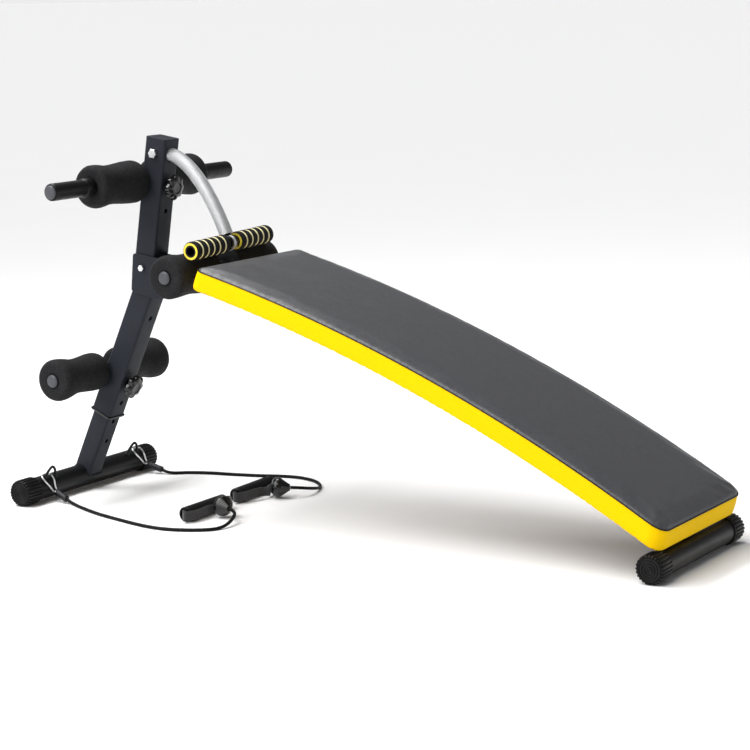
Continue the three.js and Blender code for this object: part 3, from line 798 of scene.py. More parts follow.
def rope_strap(side):
    """Flat webbing on edge, through the grip and back to the stopper."""
    path = smooth_path([
        (FRONT.x + x / 1000, y / 1000, GRIP_RADIUS) for x, y in STRAP_ROUTES[side]
    ], 10)
    path = evenly(path, 260)
    half, thin, edge = STRAP_WIDTH / 2, STRAP_THICK / 2, 0.0006
    outline = [
        (thin, -half + edge), (thin, half - edge), (thin - edge, half), (-thin + edge, half),
        (-thin, half - edge), (-thin, -half + edge), (-thin + edge, -half), (thin - edge, -half),
    ]
    points = []
    for index, centre in enumerate(path):
        ahead = path[min(index + 1, len(path) - 1)] - path[max(index - 1, 0)]
        side_way = Vector((ahead.y, -ahead.x, 0)).normalized()
        sway = 0.0005 * math.sin(index * 0.11)
        points += [centre + side_way * a + Vector((0, 0, b + sway)) for a, b in outline]
    rows = rows_of(len(outline), len(path))
    faces = [*stitched(rows), tuple(rows[0]), tuple(rows[-1])]
    strap = mesh_object(f"rope_{side}_strap", points, faces, 50)
    show(strap, "front_foot", "webbing", f"rope_strap_{side}")
    return strap


def exercise_rope(side, sign):
    rope, path = rope_curve(side)
    ferrule = rope_ferrule(side)
    link = rope_link(side, sign)
    rope_eye(side, sign)
    rope_stopper(side)
    rope_grip(side)
    rope_strap(side)


make_camera()
for rope_side, rope_sign in SIDES:
    exercise_rope(rope_side, rope_sign)


# ---- Feet ----
CROSSBAR_RADIUS = 0.0215
CAP_RADIUS = 0.025
CAP_LENGTH = 0.040


def cross_tube(name, half, radius=TUBE_RADIUS, wall=0.002, segments=64):
    profile = [(radius - wall, -half), (radius, -half), (radius, half), (radius - wall, half)]
    return revolve(name, profile, segments, closed=True)


def crossbar(end, centre, body):
    low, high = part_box(f"{end}_crossbar")
    bar = cross_tube(f"{end}_bar", (high[1] - low[1]) / 2, CROSSBAR_RADIUS, segments=96)
    settle(bar, Matrix.Translation(centre))
    return show(bar, body, "bar_paint", f"{end}_crossbar")


CAP_RIBS = 24
CAP_RIB_DEPTH = 0.0022


def end_cap(end, side, sign, centre, body):
    """A rubber cap with square-cut ribs along it and raised rings on its face."""
    low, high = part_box(f"{end}_cap_{side}")
    outer = high[1] if sign > 0 else -low[1]
    bore = CROSSBAR_RADIUS + CLEARANCE
    mouth = outer - CAP_LENGTH
    face = outer - 0.0018
    rings = []
    for radius in (0.0185, 0.0135, 0.0085, 0.0038):
        rings += [
            (radius + 0.0018, face), (radius + 0.0012, outer - 0.0001), (radius - 0.0006, outer - 0.0001),
            (radius - 0.0012, face),
        ]
    profile = [
        (bore, outer - 0.005), (bore, mouth), (CAP_RADIUS - 0.0022, mouth),
        (CAP_RADIUS - 0.0014, mouth + 0.0008), (CAP_RADIUS - 0.0014, mouth + 0.0030),
        (CAP_RADIUS - 0.0004, mouth + 0.0036), (CAP_RADIUS, mouth + 0.0050), (CAP_RADIUS, outer - 0.0060),
        (CAP_RADIUS - 0.0004, outer - 0.0036), (CAP_RADIUS - 0.0013, outer - 0.0016),
        (CAP_RADIUS - 0.0026, outer - 0.0003), (CAP_RADIUS - 0.0038, outer), *rings, (0, face),
    ]
    ribbed_rows = range(5, 11)

    def ribs(radius, index, angle):
        if index not in ribbed_rows:
            return radius
        wave = max(-1.0, min(1.0, 3.0 * math.cos(CAP_RIBS * angle) + 0.6))
        return radius - CAP_RIB_DEPTH * (0.5 - 0.5 * wave) * (1.0 if index < 10 else 0.5)

    cap = revolve(f"{end}_{side}_cap", profile, CAP_RIBS * 12, reach=ribs, sharp=40)
    settle_side(cap, sign, Matrix.Translation(centre))
    return show(cap, body, "black_rubber", f"{end}_cap_{side}")


for foot_end, foot_centre, foot_body in (("front", FRONT, "front_foot"), ("rear", REAR, "board")):
    crossbar(foot_end, foot_centre, foot_body)
    for foot_side, foot_sign in SIDES:
        end_cap(foot_end, foot_side, foot_sign, foot_centre, foot_body)


# ---- Leg ----
def inner_post():
    post = square_tube("inner_leg", INNER_SIDE, POST_WALL, 0.004, 0.004, 0.300)
    saddle = revolve("saddle", [(0, -0.06), (CROSSBAR_RADIUS - 0.0004, -0.06),
                                (CROSSBAR_RADIUS - 0.0004, 0.06), (0, 0.06)], 96)
    holes = [drill(0.0045, LOCK_ALONG + step * LOCK_PITCH, 0, 0.04) for step in range(-3, 2)]
    cut_with(post, saddle, *holes)
    settle(soften(post, 0.0003, 2), LEG)
    return show(post, "front_foot", "post_paint", "inner_post")


def post_weld():
    outline = rounded_square(INNER_SIDE + 0.0016, 0.005)
    path = [
        LEG @ Vector((x, y, math.sqrt((CROSSBAR_RADIUS + 0.0006) ** 2 - x ** 2)))
        for x, y in outline
    ]
    return show(weld("post_weld", path, 0.0013), "front_foot", "post_paint")


def outer_sleeve():
    sleeve = square_tube("leg_sleeve", POST_SIDE, POST_WALL, 0.005, SLEEVE_LOW, SLEEVE_HIGH)
    holes = [drill(0.0046, along, 0, 0.04) for along in (LOCK_ALONG - LOCK_PITCH, LOCK_ALONG, 0.352)]
    cut_with(sleeve, *holes)
    settle(soften(sleeve, 0.0003, 2), LEG)
    return show(sleeve, "leg", "post_paint", "outer_sleeve")


def sleeve_collar():
    """A moulded collar: a flared lip below the sleeve and a bush inside it."""
    levels = [
        (INNER_SIDE + 0.0006, SLEEVE_LOW + 0.020), (INNER_SIDE + 0.0006, SLEEVE_LOW - 0.0038),
        (POST_SIDE + 0.0032, SLEEVE_LOW - 0.0038), (POST_SIDE + 0.0040, SLEEVE_LOW - 0.0030),
        (POST_SIDE + 0.0040, SLEEVE_LOW - 0.0010), (POST_SIDE + 0.0032, SLEEVE_LOW - CLEARANCE),
        (POST_SIDE - 0.0044, SLEEVE_LOW - CLEARANCE), (POST_SIDE - 0.0044, SLEEVE_LOW + 0.020),
    ]
    points = []
    for side, z in levels:
        points += [(x, y, z) for x, y in rounded_square(side, 0.0045)]
    rows = rows_of(len(points) // len(levels), len(levels))
    collar = mesh_object("collar", points, stitched(rows, closed=True), 40)
    settle(collar, LEG)
    return show(collar, "leg", "black_plastic", "sleeve_collar")


def star_knob(name):
    """An eight-lobed hand knob on a post's face, with a stepped boss and a dished face."""
    seat = POST_SIDE / 2 + CLEARANCE
    corners = [
        (0, seat), (0.0088, seat), (0.0092, seat + 0.0052), (0.0150, seat + 0.0072),
        (0.0215, seat + 0.0082), (0.0236, seat + 0.0105), (0.0236, seat + 0.0165),
        (0.0212, seat + 0.0195), (0.0150, seat + 0.0212), (0.0105, seat + 0.0218),
        (0.0092, seat + 0.0200), (0, seat + 0.0196),
    ]
    profile = rounded_profile(corners, 0.0014, 4)

    def lobed(radius, index, angle):
        share = max(0.0, min(1.0, (radius - 0.0105) / 0.010))
        return radius * (1 - 0.15 * share * (0.5 - 0.5 * math.cos(8 * angle)) ** 1.3)

    knob = revolve(name, profile, 192, reach=lobed, sharp=60)
    return settle(knob, HEADING_DOWN_X)


def threaded(radius, low, high):
    """A threaded rod along local Y: close grooves and a chamfered end."""
    pitch = 0.00125
    profile = [(0, low)]
    turns = int((high - low - radius * 0.3) / pitch)
    for turn in range(turns):
        profile.append((radius, low + turn * pitch))
        profile.append((radius - 0.00045, low + (turn + 0.5) * pitch))
    profile += [(radius, high - radius * 0.3), (radius * 0.72, high), (0, high)]
    return revolve("thread", profile, 32, sharp=30)


def lock_knob():
    """The star knob that locks the leg, and the short screw it turns on."""
    knob = star_knob("knob")
    screw = revolve(
        "screw", [(0, 0.0193), (0.0034, 0.0193), (0.004, 0.0200), (0.004, 0.026), (0, 0.026)], 32,
    )
    both = joined("leg_lock_star", [knob, settle(screw, HEADING_DOWN_X)])
    settle(both, up_the(LEG, LOCK_ALONG))
    return show(both, "leg_lock", "black_plastic", "leg_lock_knob")


inner_post()
post_weld()
outer_sleeve()
sleeve_collar()
lock_knob()


# ---- Rollers ----
ROLLER_HALF = 0.155
FOAM_BULB = 0.039
FOAM_SHOULDER = 0.011
FOAM_SHAPES = {   # waist radius, inner bulb radius and where the waist lies, from 0 at the post to 1
    "upper": (0.0352, 0.0388, 0.62),
    "mid": (0.0362, 0.0388, 0.55),
    "lower": (0.0322, 0.0352, 0.52),
}


def foam_radius(level, part):
    """The foam's radius at a part of its length: a bulb at each end and a smooth waist between."""
    waist, inner_bulb, waist_at = FOAM_SHAPES[level]
    bulb = inner_bulb if part < waist_at else FOAM_BULB - 0.0002
    span = waist_at - 0.14 if part < waist_at else 0.90 - waist_at
    away = min(abs(part - waist_at) / span, 1.0)
    return waist + (bulb - waist) * (0.5 - 0.5 * math.cos(math.pi * away))


def foam_drop(inside):
    """How far the rounded shoulder lies below the bulb, at a distance inside the foam's end."""
    if inside >= FOAM_SHOULDER:
        return 0.0
    return 0.85 * (FOAM_SHOULDER - math.sqrt(FOAM_SHOULDER ** 2 - (FOAM_SHOULDER - inside) ** 2))


def foam_roller(level, side, sign, matrix, low):
    """A dog-bone foam sleeve with rounded shoulders and a bore."""
    high = ROLLER_HALF - 0.001
    bore, length = TUBE_RADIUS + CLEARANCE, high - low
    outer = []
    for step in range(61):
        inside = min(step, 60 - step) / 60 * length
        outer.append((foam_radius(level, step / 60) - foam_drop(inside), low + step / 60 * length))
    for step in range(1, 8):
        inside = FOAM_SHOULDER * (1 - math.cos(math.pi / 2 * step / 8)) * 0.2
        outer.append((foam_radius(level, inside / length) - foam_drop(inside), low + inside))
        outer.append((foam_radius(level, 1 - inside / length) - foam_drop(inside), high - inside))
    outer.sort(key=lambda pair: pair[1])
    profile = [
        (bore, low + 0.0006), (bore + 0.0008, low), *outer, (bore + 0.0008, high), (bore, high - 0.0006),
    ]
    seed = sign * 7.0 + matrix.translation.z * 31

    def uneven(radius, index, angle):
        if radius < 0.02:
            return radius
        spot = Vector((2.2 * math.cos(angle), 2.2 * math.sin(angle), index * 0.12 + seed))
        return min(radius + 0.0004 * noise.noise(spot), FOAM_BULB)

    foam = revolve(f"{level}_{side}_foam", profile, 112, closed=True, reach=uneven, sharp=60)
    settle_side(foam, sign, matrix)
    return show(foam, f"{level}_roller_{side}", "black_foam", f"{level}_foam_{side}")


def tube_plug(name, half, radius, matrix, sign, body, node):
    """A grey push-in plug: a domed head over a spigot in the tube."""
    seat = half + CLEARANCE
    profile = [(0, half - 0.015), (0.0098, half - 0.015), (0.0098, seat), (radius - 0.0004, seat)]
    for step in range(9):
        angle = math.pi / 2 * step / 8
        profile.append((radius * math.cos(angle) ** 0.7, seat + 0.0004 + 0.0036 * math.sin(angle)))
    profile[-1] = (0, seat + 0.0040)
    plug = revolve(name, profile, 64, sharp=50)
    settle_side(plug, sign, matrix)
    return show(plug, body, "grey_plastic", node)


def roller_set(level, matrix, inner_end, body):
    """A cross tube with a foam roller and a plug at each end."""
    tube = settle(cross_tube(f"{level}_tube", ROLLER_HALF), matrix)
    show(tube, body, "bar_paint", f"{level}_roller_tube")
    for side, sign in SIDES:
        foam_roller(level, side, sign, matrix, inner_end)
        plug_name, plug_node = f"{level}_{side}_plug", f"{level}_plug_{side}"
        tube_plug(plug_name, ROLLER_HALF, 0.0118, matrix, sign, body, plug_node)


LOWER = up_the(LEG, LOCK_ALONG, BESIDE_POST)
roller_set("lower", LOWER, 0.0255, "leg")
roller_set("mid", Matrix.Translation(MID_ROLLER), 0.0275, "board")


def lower_weld():
    """Two beads where the lower cross tube lies against the sleeve's flat face."""
    beads = []
    for sign in (-1, 1):
        path = [
            LOWER @ Vector((TUBE_RADIUS - 0.0014, y / 1000, sign * 0.0055)) for y in range(-20, 21, 4)
        ]
        beads.append(weld("bead", path, 0.0019, closed=False))
    return show(joined("lower_weld", beads), "leg", "bar_paint")


lower_weld()


# ---- Bracket, bolts and upper post ----
PLATE_INSIDE = 0.023
PLATE_THICK = 0.003
PLATE_OUTSIDE = PLATE_INSIDE + PLATE_THICK
BRACKET_OUTLINE = [
    (-0.020, 0.027), (0.036, 0.020), (0.072, 0.017), (0.085, 0.004), (0.085, -0.012),
    (0.048, -0.055), (0.014, -0.054), (-0.027, -0.044),
]


def hinge_bracket():
    """Two shaped plates and the web that the upper post leans on, bent from one sheet."""
    plates = [
        plate("cheek", BRACKET_OUTLINE, low, low + PLATE_THICK, corner=0.006)
        for low in (-PLATE_OUTSIDE, PLATE_INSIDE)
    ]
    web_from = POST_SIDE / 2 + 0.0008
    web_outline = [(web_from, -0.018), (web_from + PLATE_THICK, -0.018), (web_from + PLATE_THICK, 0.022),
                   (web_from, 0.022)]
    web = plate("web", web_outline, -PLATE_INSIDE - 0.001, PLATE_INSIDE + 0.001)
    settle(web, POST.to_3x3().to_4x4())
    bracket = joined("bracket", [*plates, web])
    soften(bracket, 0.0006, 3, 50)
    settle(bracket, Matrix.Translation(POST.translation))
    return show(bracket, "leg", "post_paint", "hinge_bracket")


def hex_prism(name, corner, low, high, chamfer, bore=0.0):
    """A hexagonal head or nut along local Y, chamfered at the outer end."""
    top = high if abs(high) > abs(low) else low
    other = low if top == high else high
    inward = chamfer if top > other else -chamfer
    profile = [
        (bore, other), (corner * 0.97, other), (corner, other + inward * 0.4), (corner, top - inward),
        (corner * 0.9, top), (bore, top),
    ]
    return revolve(name, profile, 6, closed=bore > 0, sharp=20)


def washer(radius, bore, low, high):
    profile = [(bore, low), (radius - 0.0003, low), (radius, (low + high) / 2),
               (radius - 0.0003, high), (bore, high)]
    return revolve("washer", profile, 48, closed=True)


def bolt_and_nut(name, radius, head, seat, matrix, body):
    """A hexagon bolt across the bench with its head on the left and a nut on the right."""
    head_thick = radius * 1.3
    nut_thick = radius * 1.6
    seat = seat + CLEARANCE
    head_piece = hex_prism("head", head, -seat, -seat - head_thick, 0.0012)
    face = washer(head * 0.86, 0.0, -seat - 0.0004, -seat)
    shank = threaded(radius, -seat - 0.001, seat + nut_thick + 0.003)
    bolt = settle(joined(f"{name}_hex_bolt", [head_piece, face, shank]), matrix)
    show(soften(bolt, 0.0003, 2, 25), body, "bright_steel", f"{name}_bolt")
    nut = hex_prism("nut", head, seat, seat + nut_thick, 0.0012, radius + 0.0001)
    ring = washer(head * 1.08, radius + 0.0002, seat - CLEARANCE, seat)
    nut = settle(joined(f"{name}_hex_nut", [nut, ring]), matrix)
    show(soften(nut, 0.0003, 2, 25), body, "bright_steel", f"{name}_nut")


def upper_post():
    """The lidded square post, rounded off at its foot to turn between the bracket's plates."""
    half = POST_SIDE / 2
    post = square_tube("upper_tube", POST_SIDE, POST_WALL, 0.005, -half - 0.001, POST_TOP, lid=True)
    foot = [(half + 0.001, POST_TOP + 0.001), (-half - 0.001, POST_TOP + 0.001)]
    foot += [
        (-half * math.cos(math.radians(a)), -half * math.sin(math.radians(a))) for a in range(0, 181, 6)
    ]
    foot[2] = (-half - 0.001, 0)
    foot[-1] = (half + 0.001, 0)
    rounding = plate("rounding", foot, -0.03, 0.03)
    cut_with(post, rounding, operation="INTERSECT")
    cut_with(
        post, drill(0.0140, HOOK_ALONG, 0, 0.04), drill(0.0044, FOOT_BAR_ALONG, -0.04, 0.04),
        drill(0.0044, SPARE_HOLE_ALONG, -0.04, 0.04), drill(0.0044, 0, -0.04, 0.04, "Y"),
        drill(0.0052, HOOK_ALONG, -0.04, 0.04, "Y"),
    )
    settle(soften(post, 0.0005, 3), POST)
    return show(post, "post", "post_paint", "upper_post")


def foot_bar():
    """The long cross tube with its ribbed grips, plugs and foam rollers."""
    half = 0.263
    ribs = 17
    grip_low, grip_high = ROLLER_HALF, half
    matrix = up_the(POST, FOOT_BAR_ALONG, BESIDE_POST)
    show(settle(cross_tube("foot_tube", half), matrix), "post", "bar_paint", "foot_bar")
    for side, sign in SIDES:
        profile = [
            (TUBE_RADIUS + 0.0002, grip_low + 0.0004), (0.0165, grip_low), (0.0172, grip_low + 0.0007),
            (0.0172, grip_low + 0.0200), (0.0166, grip_low + 0.0216), (0.0155, grip_low + 0.0222),
        ]
        for step in range(ribs * 6 + 1):
            y = grip_low + 0.025 + step / (ribs * 6) * (grip_high - grip_low - 0.029)
            profile.append((0.0153 + 0.0002 * abs(math.cos(math.pi * step / 6)), y))
        profile += [
            (0.0154, grip_high - 0.0032), (0.0148, grip_high - 0.0014), (0.0140, grip_high - 0.0003),
            (0.0132, grip_high), (TUBE_RADIUS + 0.0002, grip_high - 0.0004),
        ]
        grip = revolve(f"foot_bar_{side}_sleeve", profile, 64, closed=True, sharp=70)
        settle_side(grip, sign, matrix)
        show(grip, "post", "black_rubber", f"foot_bar_grip_{side}")
        tube_plug(f"foot_bar_{side}_cap", half, 0.0124, matrix, sign, "post", f"foot_bar_plug_{side}")
        foam_roller("upper", side, sign, matrix, 0.0255)


def foot_bar_bolt():
    back = BESIDE_POST - TUBE_RADIUS - CLEARANCE
    dome = revolve("dome", [
        (0, back - 0.004), (0.003, back - 0.0038), (0.0058, back - 0.0030), (0.0075, back - 0.0016),
        (0.008, back), (0, back),
    ], 48)
    shank = threaded(0.004, back - 0.001, POST_SIDE / 2 + 0.019)
    bolt = settle(joined("foot_bar_stud", [dome, shank]), HEADING_DOWN_X)
    settle(bolt, up_the(POST, FOOT_BAR_ALONG))
    show(bolt, "post", "bright_steel", "foot_bar_bolt")


def foot_bar_knob():
    knob = star_knob("bar_star")
    settle(knob, up_the(POST, FOOT_BAR_ALONG))
    show(knob, "bar_knob", "black_plastic", "foot_bar_knob")


hinge_bracket()
bolt_and_nut("post_pivot", 0.004, 0.0065, PLATE_OUTSIDE, Matrix.Translation(POST.translation), "leg")
bolt_and_nut("board_pivot", 0.005, 0.0085, PLATE_OUTSIDE, Matrix.Translation(BOARD_PIVOT), "leg")
bolt_and_nut("hook", 0.005, 0.0092, POST_SIDE / 2, up_the(POST, HOOK_ALONG), "post")
upper_post()
foot_bar()
foot_bar_bolt()
foot_bar_knob()


# ---- Pull spring and handle ----
HANDLE_YAW = 2.0
HANDLE_TILT = 1.3
HANDLE = (
    Matrix.Translation(node_centre("pull_handle_tube"))
    @ Matrix.Rotation(math.radians(HANDLE_TILT), 4, "X") @ Matrix.Rotation(math.radians(HANDLE_YAW), 4, "Z")
)
COIL_RADIUS = 0.0117
COIL_WIRE = 0.00105
STEM_DIRECTION = Vector((-0.39, 0, 0.92))


def spring_path():
    """The spring's sagging middle line, which leaves the hook bolt level and meets the hub's stem."""
    start = POST @ Vector((0.008, 0, HOOK_ALONG))
    leaving = start + Vector((0.054, 0, 0))
    arriving, end = (HANDLE.translation + STEM_DIRECTION * away for away in (0.088, 0.016))
    path = []
    for step in range(201):
        t = step / 200
        path.append(
            start * (1 - t) ** 3 + leaving * 3 * t * (1 - t) ** 2 + arriving * 3 * t * t * (1 - t)
            + end * t ** 3
        )
    return path


def pull_spring():
    """A close-wound coil along the sagging line from the hook bolt to the handle's hub."""
    path = spring_path()
    turns = round(path_length(path) / (2 * COIL_WIRE * 1.04))
    per_turn = 18
    line = evenly(path, turns * per_turn)
    frames = travelling_frames(line)
    coil = []
    for index, (centre, (_, side, up)) in enumerate(zip(line, frames)):
        angle = 2 * math.pi * index / per_turn
        coil.append(centre + (side * math.cos(angle) + up * math.sin(angle)) * COIL_RADIUS)
    hook_bolt = POST @ Vector((0, 0, HOOK_ALONG))
    tail = smooth_path([
        hook_bolt + Vector((-0.004, 0, -0.0056)), hook_bolt + Vector((-0.0070, 0, 0)),
        hook_bolt + Vector((-0.003, 0, 0.0064)), hook_bolt + Vector((0.004, 0.001, 0.0060)), coil[0],
    ], 6)
    spring = wire("pull_coil", tail[:-1] + coil, COIL_WIRE, 8)
    spring.data.materials.append(MATERIALS["spring_steel"])
    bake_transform(spring)
    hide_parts("pull_spring")


def spring_hook():
    """The spring's last turns, wound round the waist of the handle's hub."""
    turns, per_turn, wound = 3, 24, 0.0133
    path = []
    for step in range(turns * per_turn + 1):
        angle = 2 * math.pi * step / per_turn
        y = -0.0034 + 0.0022 * step / per_turn
        path.append(HANDLE @ Vector((wound * math.sin(angle), y, wound * math.cos(angle))))
    show(wire("pull_spring_hook", path, COIL_WIRE, 10), "pull_handle", "spring_steel")


def handle_hub():
    """A moulded hub between the grips with a stem up into the spring."""
    collar = revolve("collar", [
        (0.0102, -0.0085), (0.0118, -0.0085), (0.0134, -0.0076), (0.0134, -0.0052), (0.0122, -0.0046),
        (0.0122, 0.0046), (0.0134, 0.0052), (0.0134, 0.0076), (0.0118, 0.0085), (0.0102, 0.0085),
    ], 56, closed=True)
    stem = revolve("stem", rounded_profile([
        (0, 0.011), (0.0086, 0.011), (0.0086, 0.0150), (0.0080, 0.0160), (0.0080, 0.026), (0.0074, 0.028),
        (0, 0.028),
    ], 0.0006, 3), 40)
    settle(stem, towards(STEM_DIRECTION.normalized()))
    hub = settle(joined("handle_hub", [collar, stem]), HANDLE)
    show(hub, "pull_handle", "black_plastic", "pull_handle_hub")


GRIP_INNER = 0.0185
GRIP_OUTER = 0.124
PULL_GRIP_RADIUS = 0.017
STRIPE_PITCH = 0.01815
STRIPE_HALF = 0.0018
STRIPE_SUNK = 0.0009


def pull_grip(side, sign):
    """A foam grip whose black segments swell between five sunk stripes, with a yellow ring on each end."""
    radius = PULL_GRIP_RADIUS
    first = (GRIP_INNER + GRIP_OUTER) / 2 - 2 * STRIPE_PITCH
    stripes = [first + STRIPE_PITCH * step for step in range(5)]
    edges = [GRIP_INNER + 0.0016]
    for middle in stripes:
        edges += [middle - STRIPE_HALF, middle + STRIPE_HALF]
    edges.append(GRIP_OUTER - 0.0016)
    profile = [(0.0102, GRIP_INNER + 0.0004), (0.0108, GRIP_INNER), (radius - 0.0026, GRIP_INNER),
               (radius - 0.0012, GRIP_INNER + 0.0005)]
    for low, high in zip(edges[::2], edges[1::2]):
        for step in range(7):
            part = step / 6
            swell = (1 - abs(2 * part - 1) ** 4)
            profile.append((radius - STRIPE_SUNK * (1 - swell), low + (high - low) * part))
    profile += [(radius - 0.0012, GRIP_OUTER - 0.0005), (radius - 0.0026, GRIP_OUTER),
                (0.0108, GRIP_OUTER), (0.0102, GRIP_OUTER - 0.0004)]
    grip = revolve(f"pull_{side}_grip", profile, 72, closed=True, sharp=50)
    bands = []
    for middle in stripes:
        top = radius - STRIPE_SUNK + 0.0004
        bands.append(revolve("band", [
            (radius - 0.003, middle - STRIPE_HALF), (top, middle - STRIPE_HALF),
            (top, middle + STRIPE_HALF), (radius - 0.003, middle + STRIPE_HALF),
        ], 72, closed=True))
    stripe_rings = joined(f"pull_{side}_stripes", bands)
    end_rings = []
    for face, out in ((GRIP_INNER, -1), (GRIP_OUTER, 1)):
        end_rings.append(revolve("ring", [
            (0.0107, face - out * 0.001), (0.0150, face - out * 0.001), (0.0147, face + out * 0.0003),
            (0.0110, face + out * 0.0003),
        ], 72, closed=True))
    end_rings = joined(f"pull_{side}_end_rings", end_rings)
    for piece in (grip, stripe_rings, end_rings):
        settle_side(piece, sign, HANDLE)
    show(grip, "pull_handle", "black_foam", f"pull_grip_{side}")
    show(stripe_rings, "pull_handle", "stripe")
    show(end_rings, "pull_handle", "yellow_foam")


pull_spring()
spring_hook()
handle_hub()
handle_tube = settle(cross_tube("handle_tube", GRIP_OUTER, 0.010), HANDLE)
show(handle_tube, "pull_handle", "bar_paint", "pull_handle_tube")
for pull_side, pull_sign in SIDES:
    pull_grip(pull_side, pull_sign)


# ---- Board ----
def on_arc(angle, y, height):
    radius = PAD_RADIUS + height
    return PAD_CENTRE + Vector((radius * math.sin(angle), y, radius * math.cos(angle)))


def main_beam():
    """The curved square beam under the pad, from its pivot nose to the rear crossbar."""
    side = 0.045
    high = -0.0003
    low = high - side
    first = math.asin((BOARD_PIVOT.x - PAD_CENTRE.x) / (PAD_RADIUS - side / 2))
    last = math.asin((REAR.x - 0.012 - PAD_CENTRE.x) / (PAD_RADIUS - side / 2))
    angles = [first + (last - first) * k / 60 for k in range(61)]
    top = [on_arc(angle, 0, high) for angle in angles]
    under = [on_arc(angle, 0, low) for angle in reversed(angles)]
    nose = []
    down = (under[-1] - top[0]).normalized()
    back = Vector((down.z, 0, -down.x))
    if back.x > 0:
        back = -back
    centre = (under[-1] + top[0]) / 2
    for step in range(1, 16):
        angle = math.pi * step / 16
        nose.append(centre + (down * math.cos(angle) + back * math.sin(angle)) * side / 2)
    outline = [(p.x, p.z) for p in [*top, *under, *nose]]
    beam = plate("beam", outline, -side / 2, side / 2)
    soften(beam, 0.0035, 4, 60)
    beam = show(beam, "board", "bar_paint", "main_beam")
    corners = [(a, b - 0.0045) for a, b in rounded_square(side - 0.004, 0.006)]
    seam = []
    heading = Vector((math.cos(last), 0, -math.sin(last)))
    rise = Vector((math.sin(last), 0, math.cos(last)))
    end = on_arc(last, 0, high - side / 2)
    for a, b in corners:
        start = end + ACROSS * a + rise * b
        offset = start - REAR
        along = -offset.dot(heading)
        away = offset.dot(rise)
        reach = math.sqrt(max((CROSSBAR_RADIUS + 0.0005) ** 2 - away ** 2, 0.0))
        seam.append(start + heading * (along - reach))
    show(weld("rear_weld", seam, 0.0014), "board", "bar_paint")
    return beam


CORNER_STEPS = 10
LONG_STEPS = 40
END_STEPS = 14
MOST_SWELL = 0.0016
SWELL_FRAMES = 20
SEAM_REACH = 0.0014


def pad_outline(inset, height):
    """The pad's plan at a height: (distance along the arc, across), with rounded corners.

    The end faces lean inwards, so the outline shortens as it rises."""
    rise = height / PAD_THICK
    low = inset + HEAD_SLANT * rise
    high = PAD_LENGTH - inset - REAR_SLANT * rise
    half = PAD_HALF_WIDTH - inset
    head, rear = (max(corner - inset, 0.004) for corner in (HEAD_CORNER, REAR_CORNER))
    centres = ((high - rear, half - rear, rear), (low + head, half - head, head),
               (low + head, head - half, head), (high - rear, rear - half, rear))
    outline = []
    for quarter, (s, y, corner) in enumerate(centres):
        for step in range(CORNER_STEPS + 1):
            angle = math.pi / 2 * (quarter + step / CORNER_STEPS)
            outline.append((s + corner * math.cos(angle), y + corner * math.sin(angle)))
        next_s, next_y, next_corner = centres[(quarter + 1) % 4]
        start = outline[-1]
        end = (next_s + next_corner * math.cos(angle), next_y + next_corner * math.sin(angle))
        count = LONG_STEPS if quarter % 2 == 0 else END_STEPS
        for step in range(1, count):
            t = step / count
            outline.append((start[0] + (end[0] - start[0]) * t, start[1] + (end[1] - start[1]) * t))
    return outline


def pad_point(s, y, height):
    return on_arc(PAD_HEAD + s / PAD_RADIUS, y, height)


# The pad's skin as (inset, height): underneath, up the yellow side, over the shoulder and the crown.
PAD_SKIN = [
    (0.0090, 0.0008), (0.0042, 0.0002), (0.0018, 0.0008), (0.0007, 0.0028), (0.0004, 0.0075),
    (0.0001, 0.0180), (0.0003, 0.0300), (0.0008, BAND_HEIGHT - 0.0014), (0.0019, BAND_HEIGHT),
    (0.0019, BAND_HEIGHT + 0.0006), (0.0022, BAND_HEIGHT + 0.0022), (0.0046, BAND_HEIGHT + 0.0048),
    (0.0092, BAND_HEIGHT + 0.0068), (0.0160, BAND_HEIGHT + 0.0080), (0.0300, BAND_HEIGHT + 0.0090),
    (0.0600, BAND_HEIGHT + 0.0098), (0.1000, BAND_HEIGHT + 0.0102), (0.1400, BAND_HEIGHT + 0.0104),
]


def strips_across(row):
    """Closes an outline with strips from side to side, so that the pad stays curved."""
    size = len(row)
    rear_middle = size - END_STEPS // 2
    left = [row[(rear_middle + step) % size] for step in range(1, size // 2)]
    right = [row[(rear_middle - step) % size] for step in range(1, size // 2)]
    head_middle = row[(rear_middle + size // 2) % size]
    faces = [(row[rear_middle], left[0], right[0]), (left[-1], head_middle, right[-1])]
    faces += [
        (left[k], left[k + 1], right[k + 1], right[k]) for k in range(len(left) - 1)
    ]
    return faces


def closed_pad():
    points, rows = [], []
    for inset, height in PAD_SKIN:
        outline = pad_outline(inset, height)
        rows.append(list(range(len(points), len(points) + len(outline))))
        points += [pad_point(s, y, height) for s, y in outline]
    faces = stitched(rows) + strips_across(rows[0]) + strips_across(rows[-1])
    return mesh_object("pad_block", points, faces, 60)


def height_above_arc(point):
    flat = Vector((point.x - PAD_CENTRE.x, 0, point.z - PAD_CENTRE.z))
    return flat.length - PAD_RADIUS


def place_on_pad(point):
    angle = math.atan2(point.x - PAD_CENTRE.x, point.z - PAD_CENTRE.z)
    return (angle - PAD_HEAD) * PAD_RADIUS, point.y


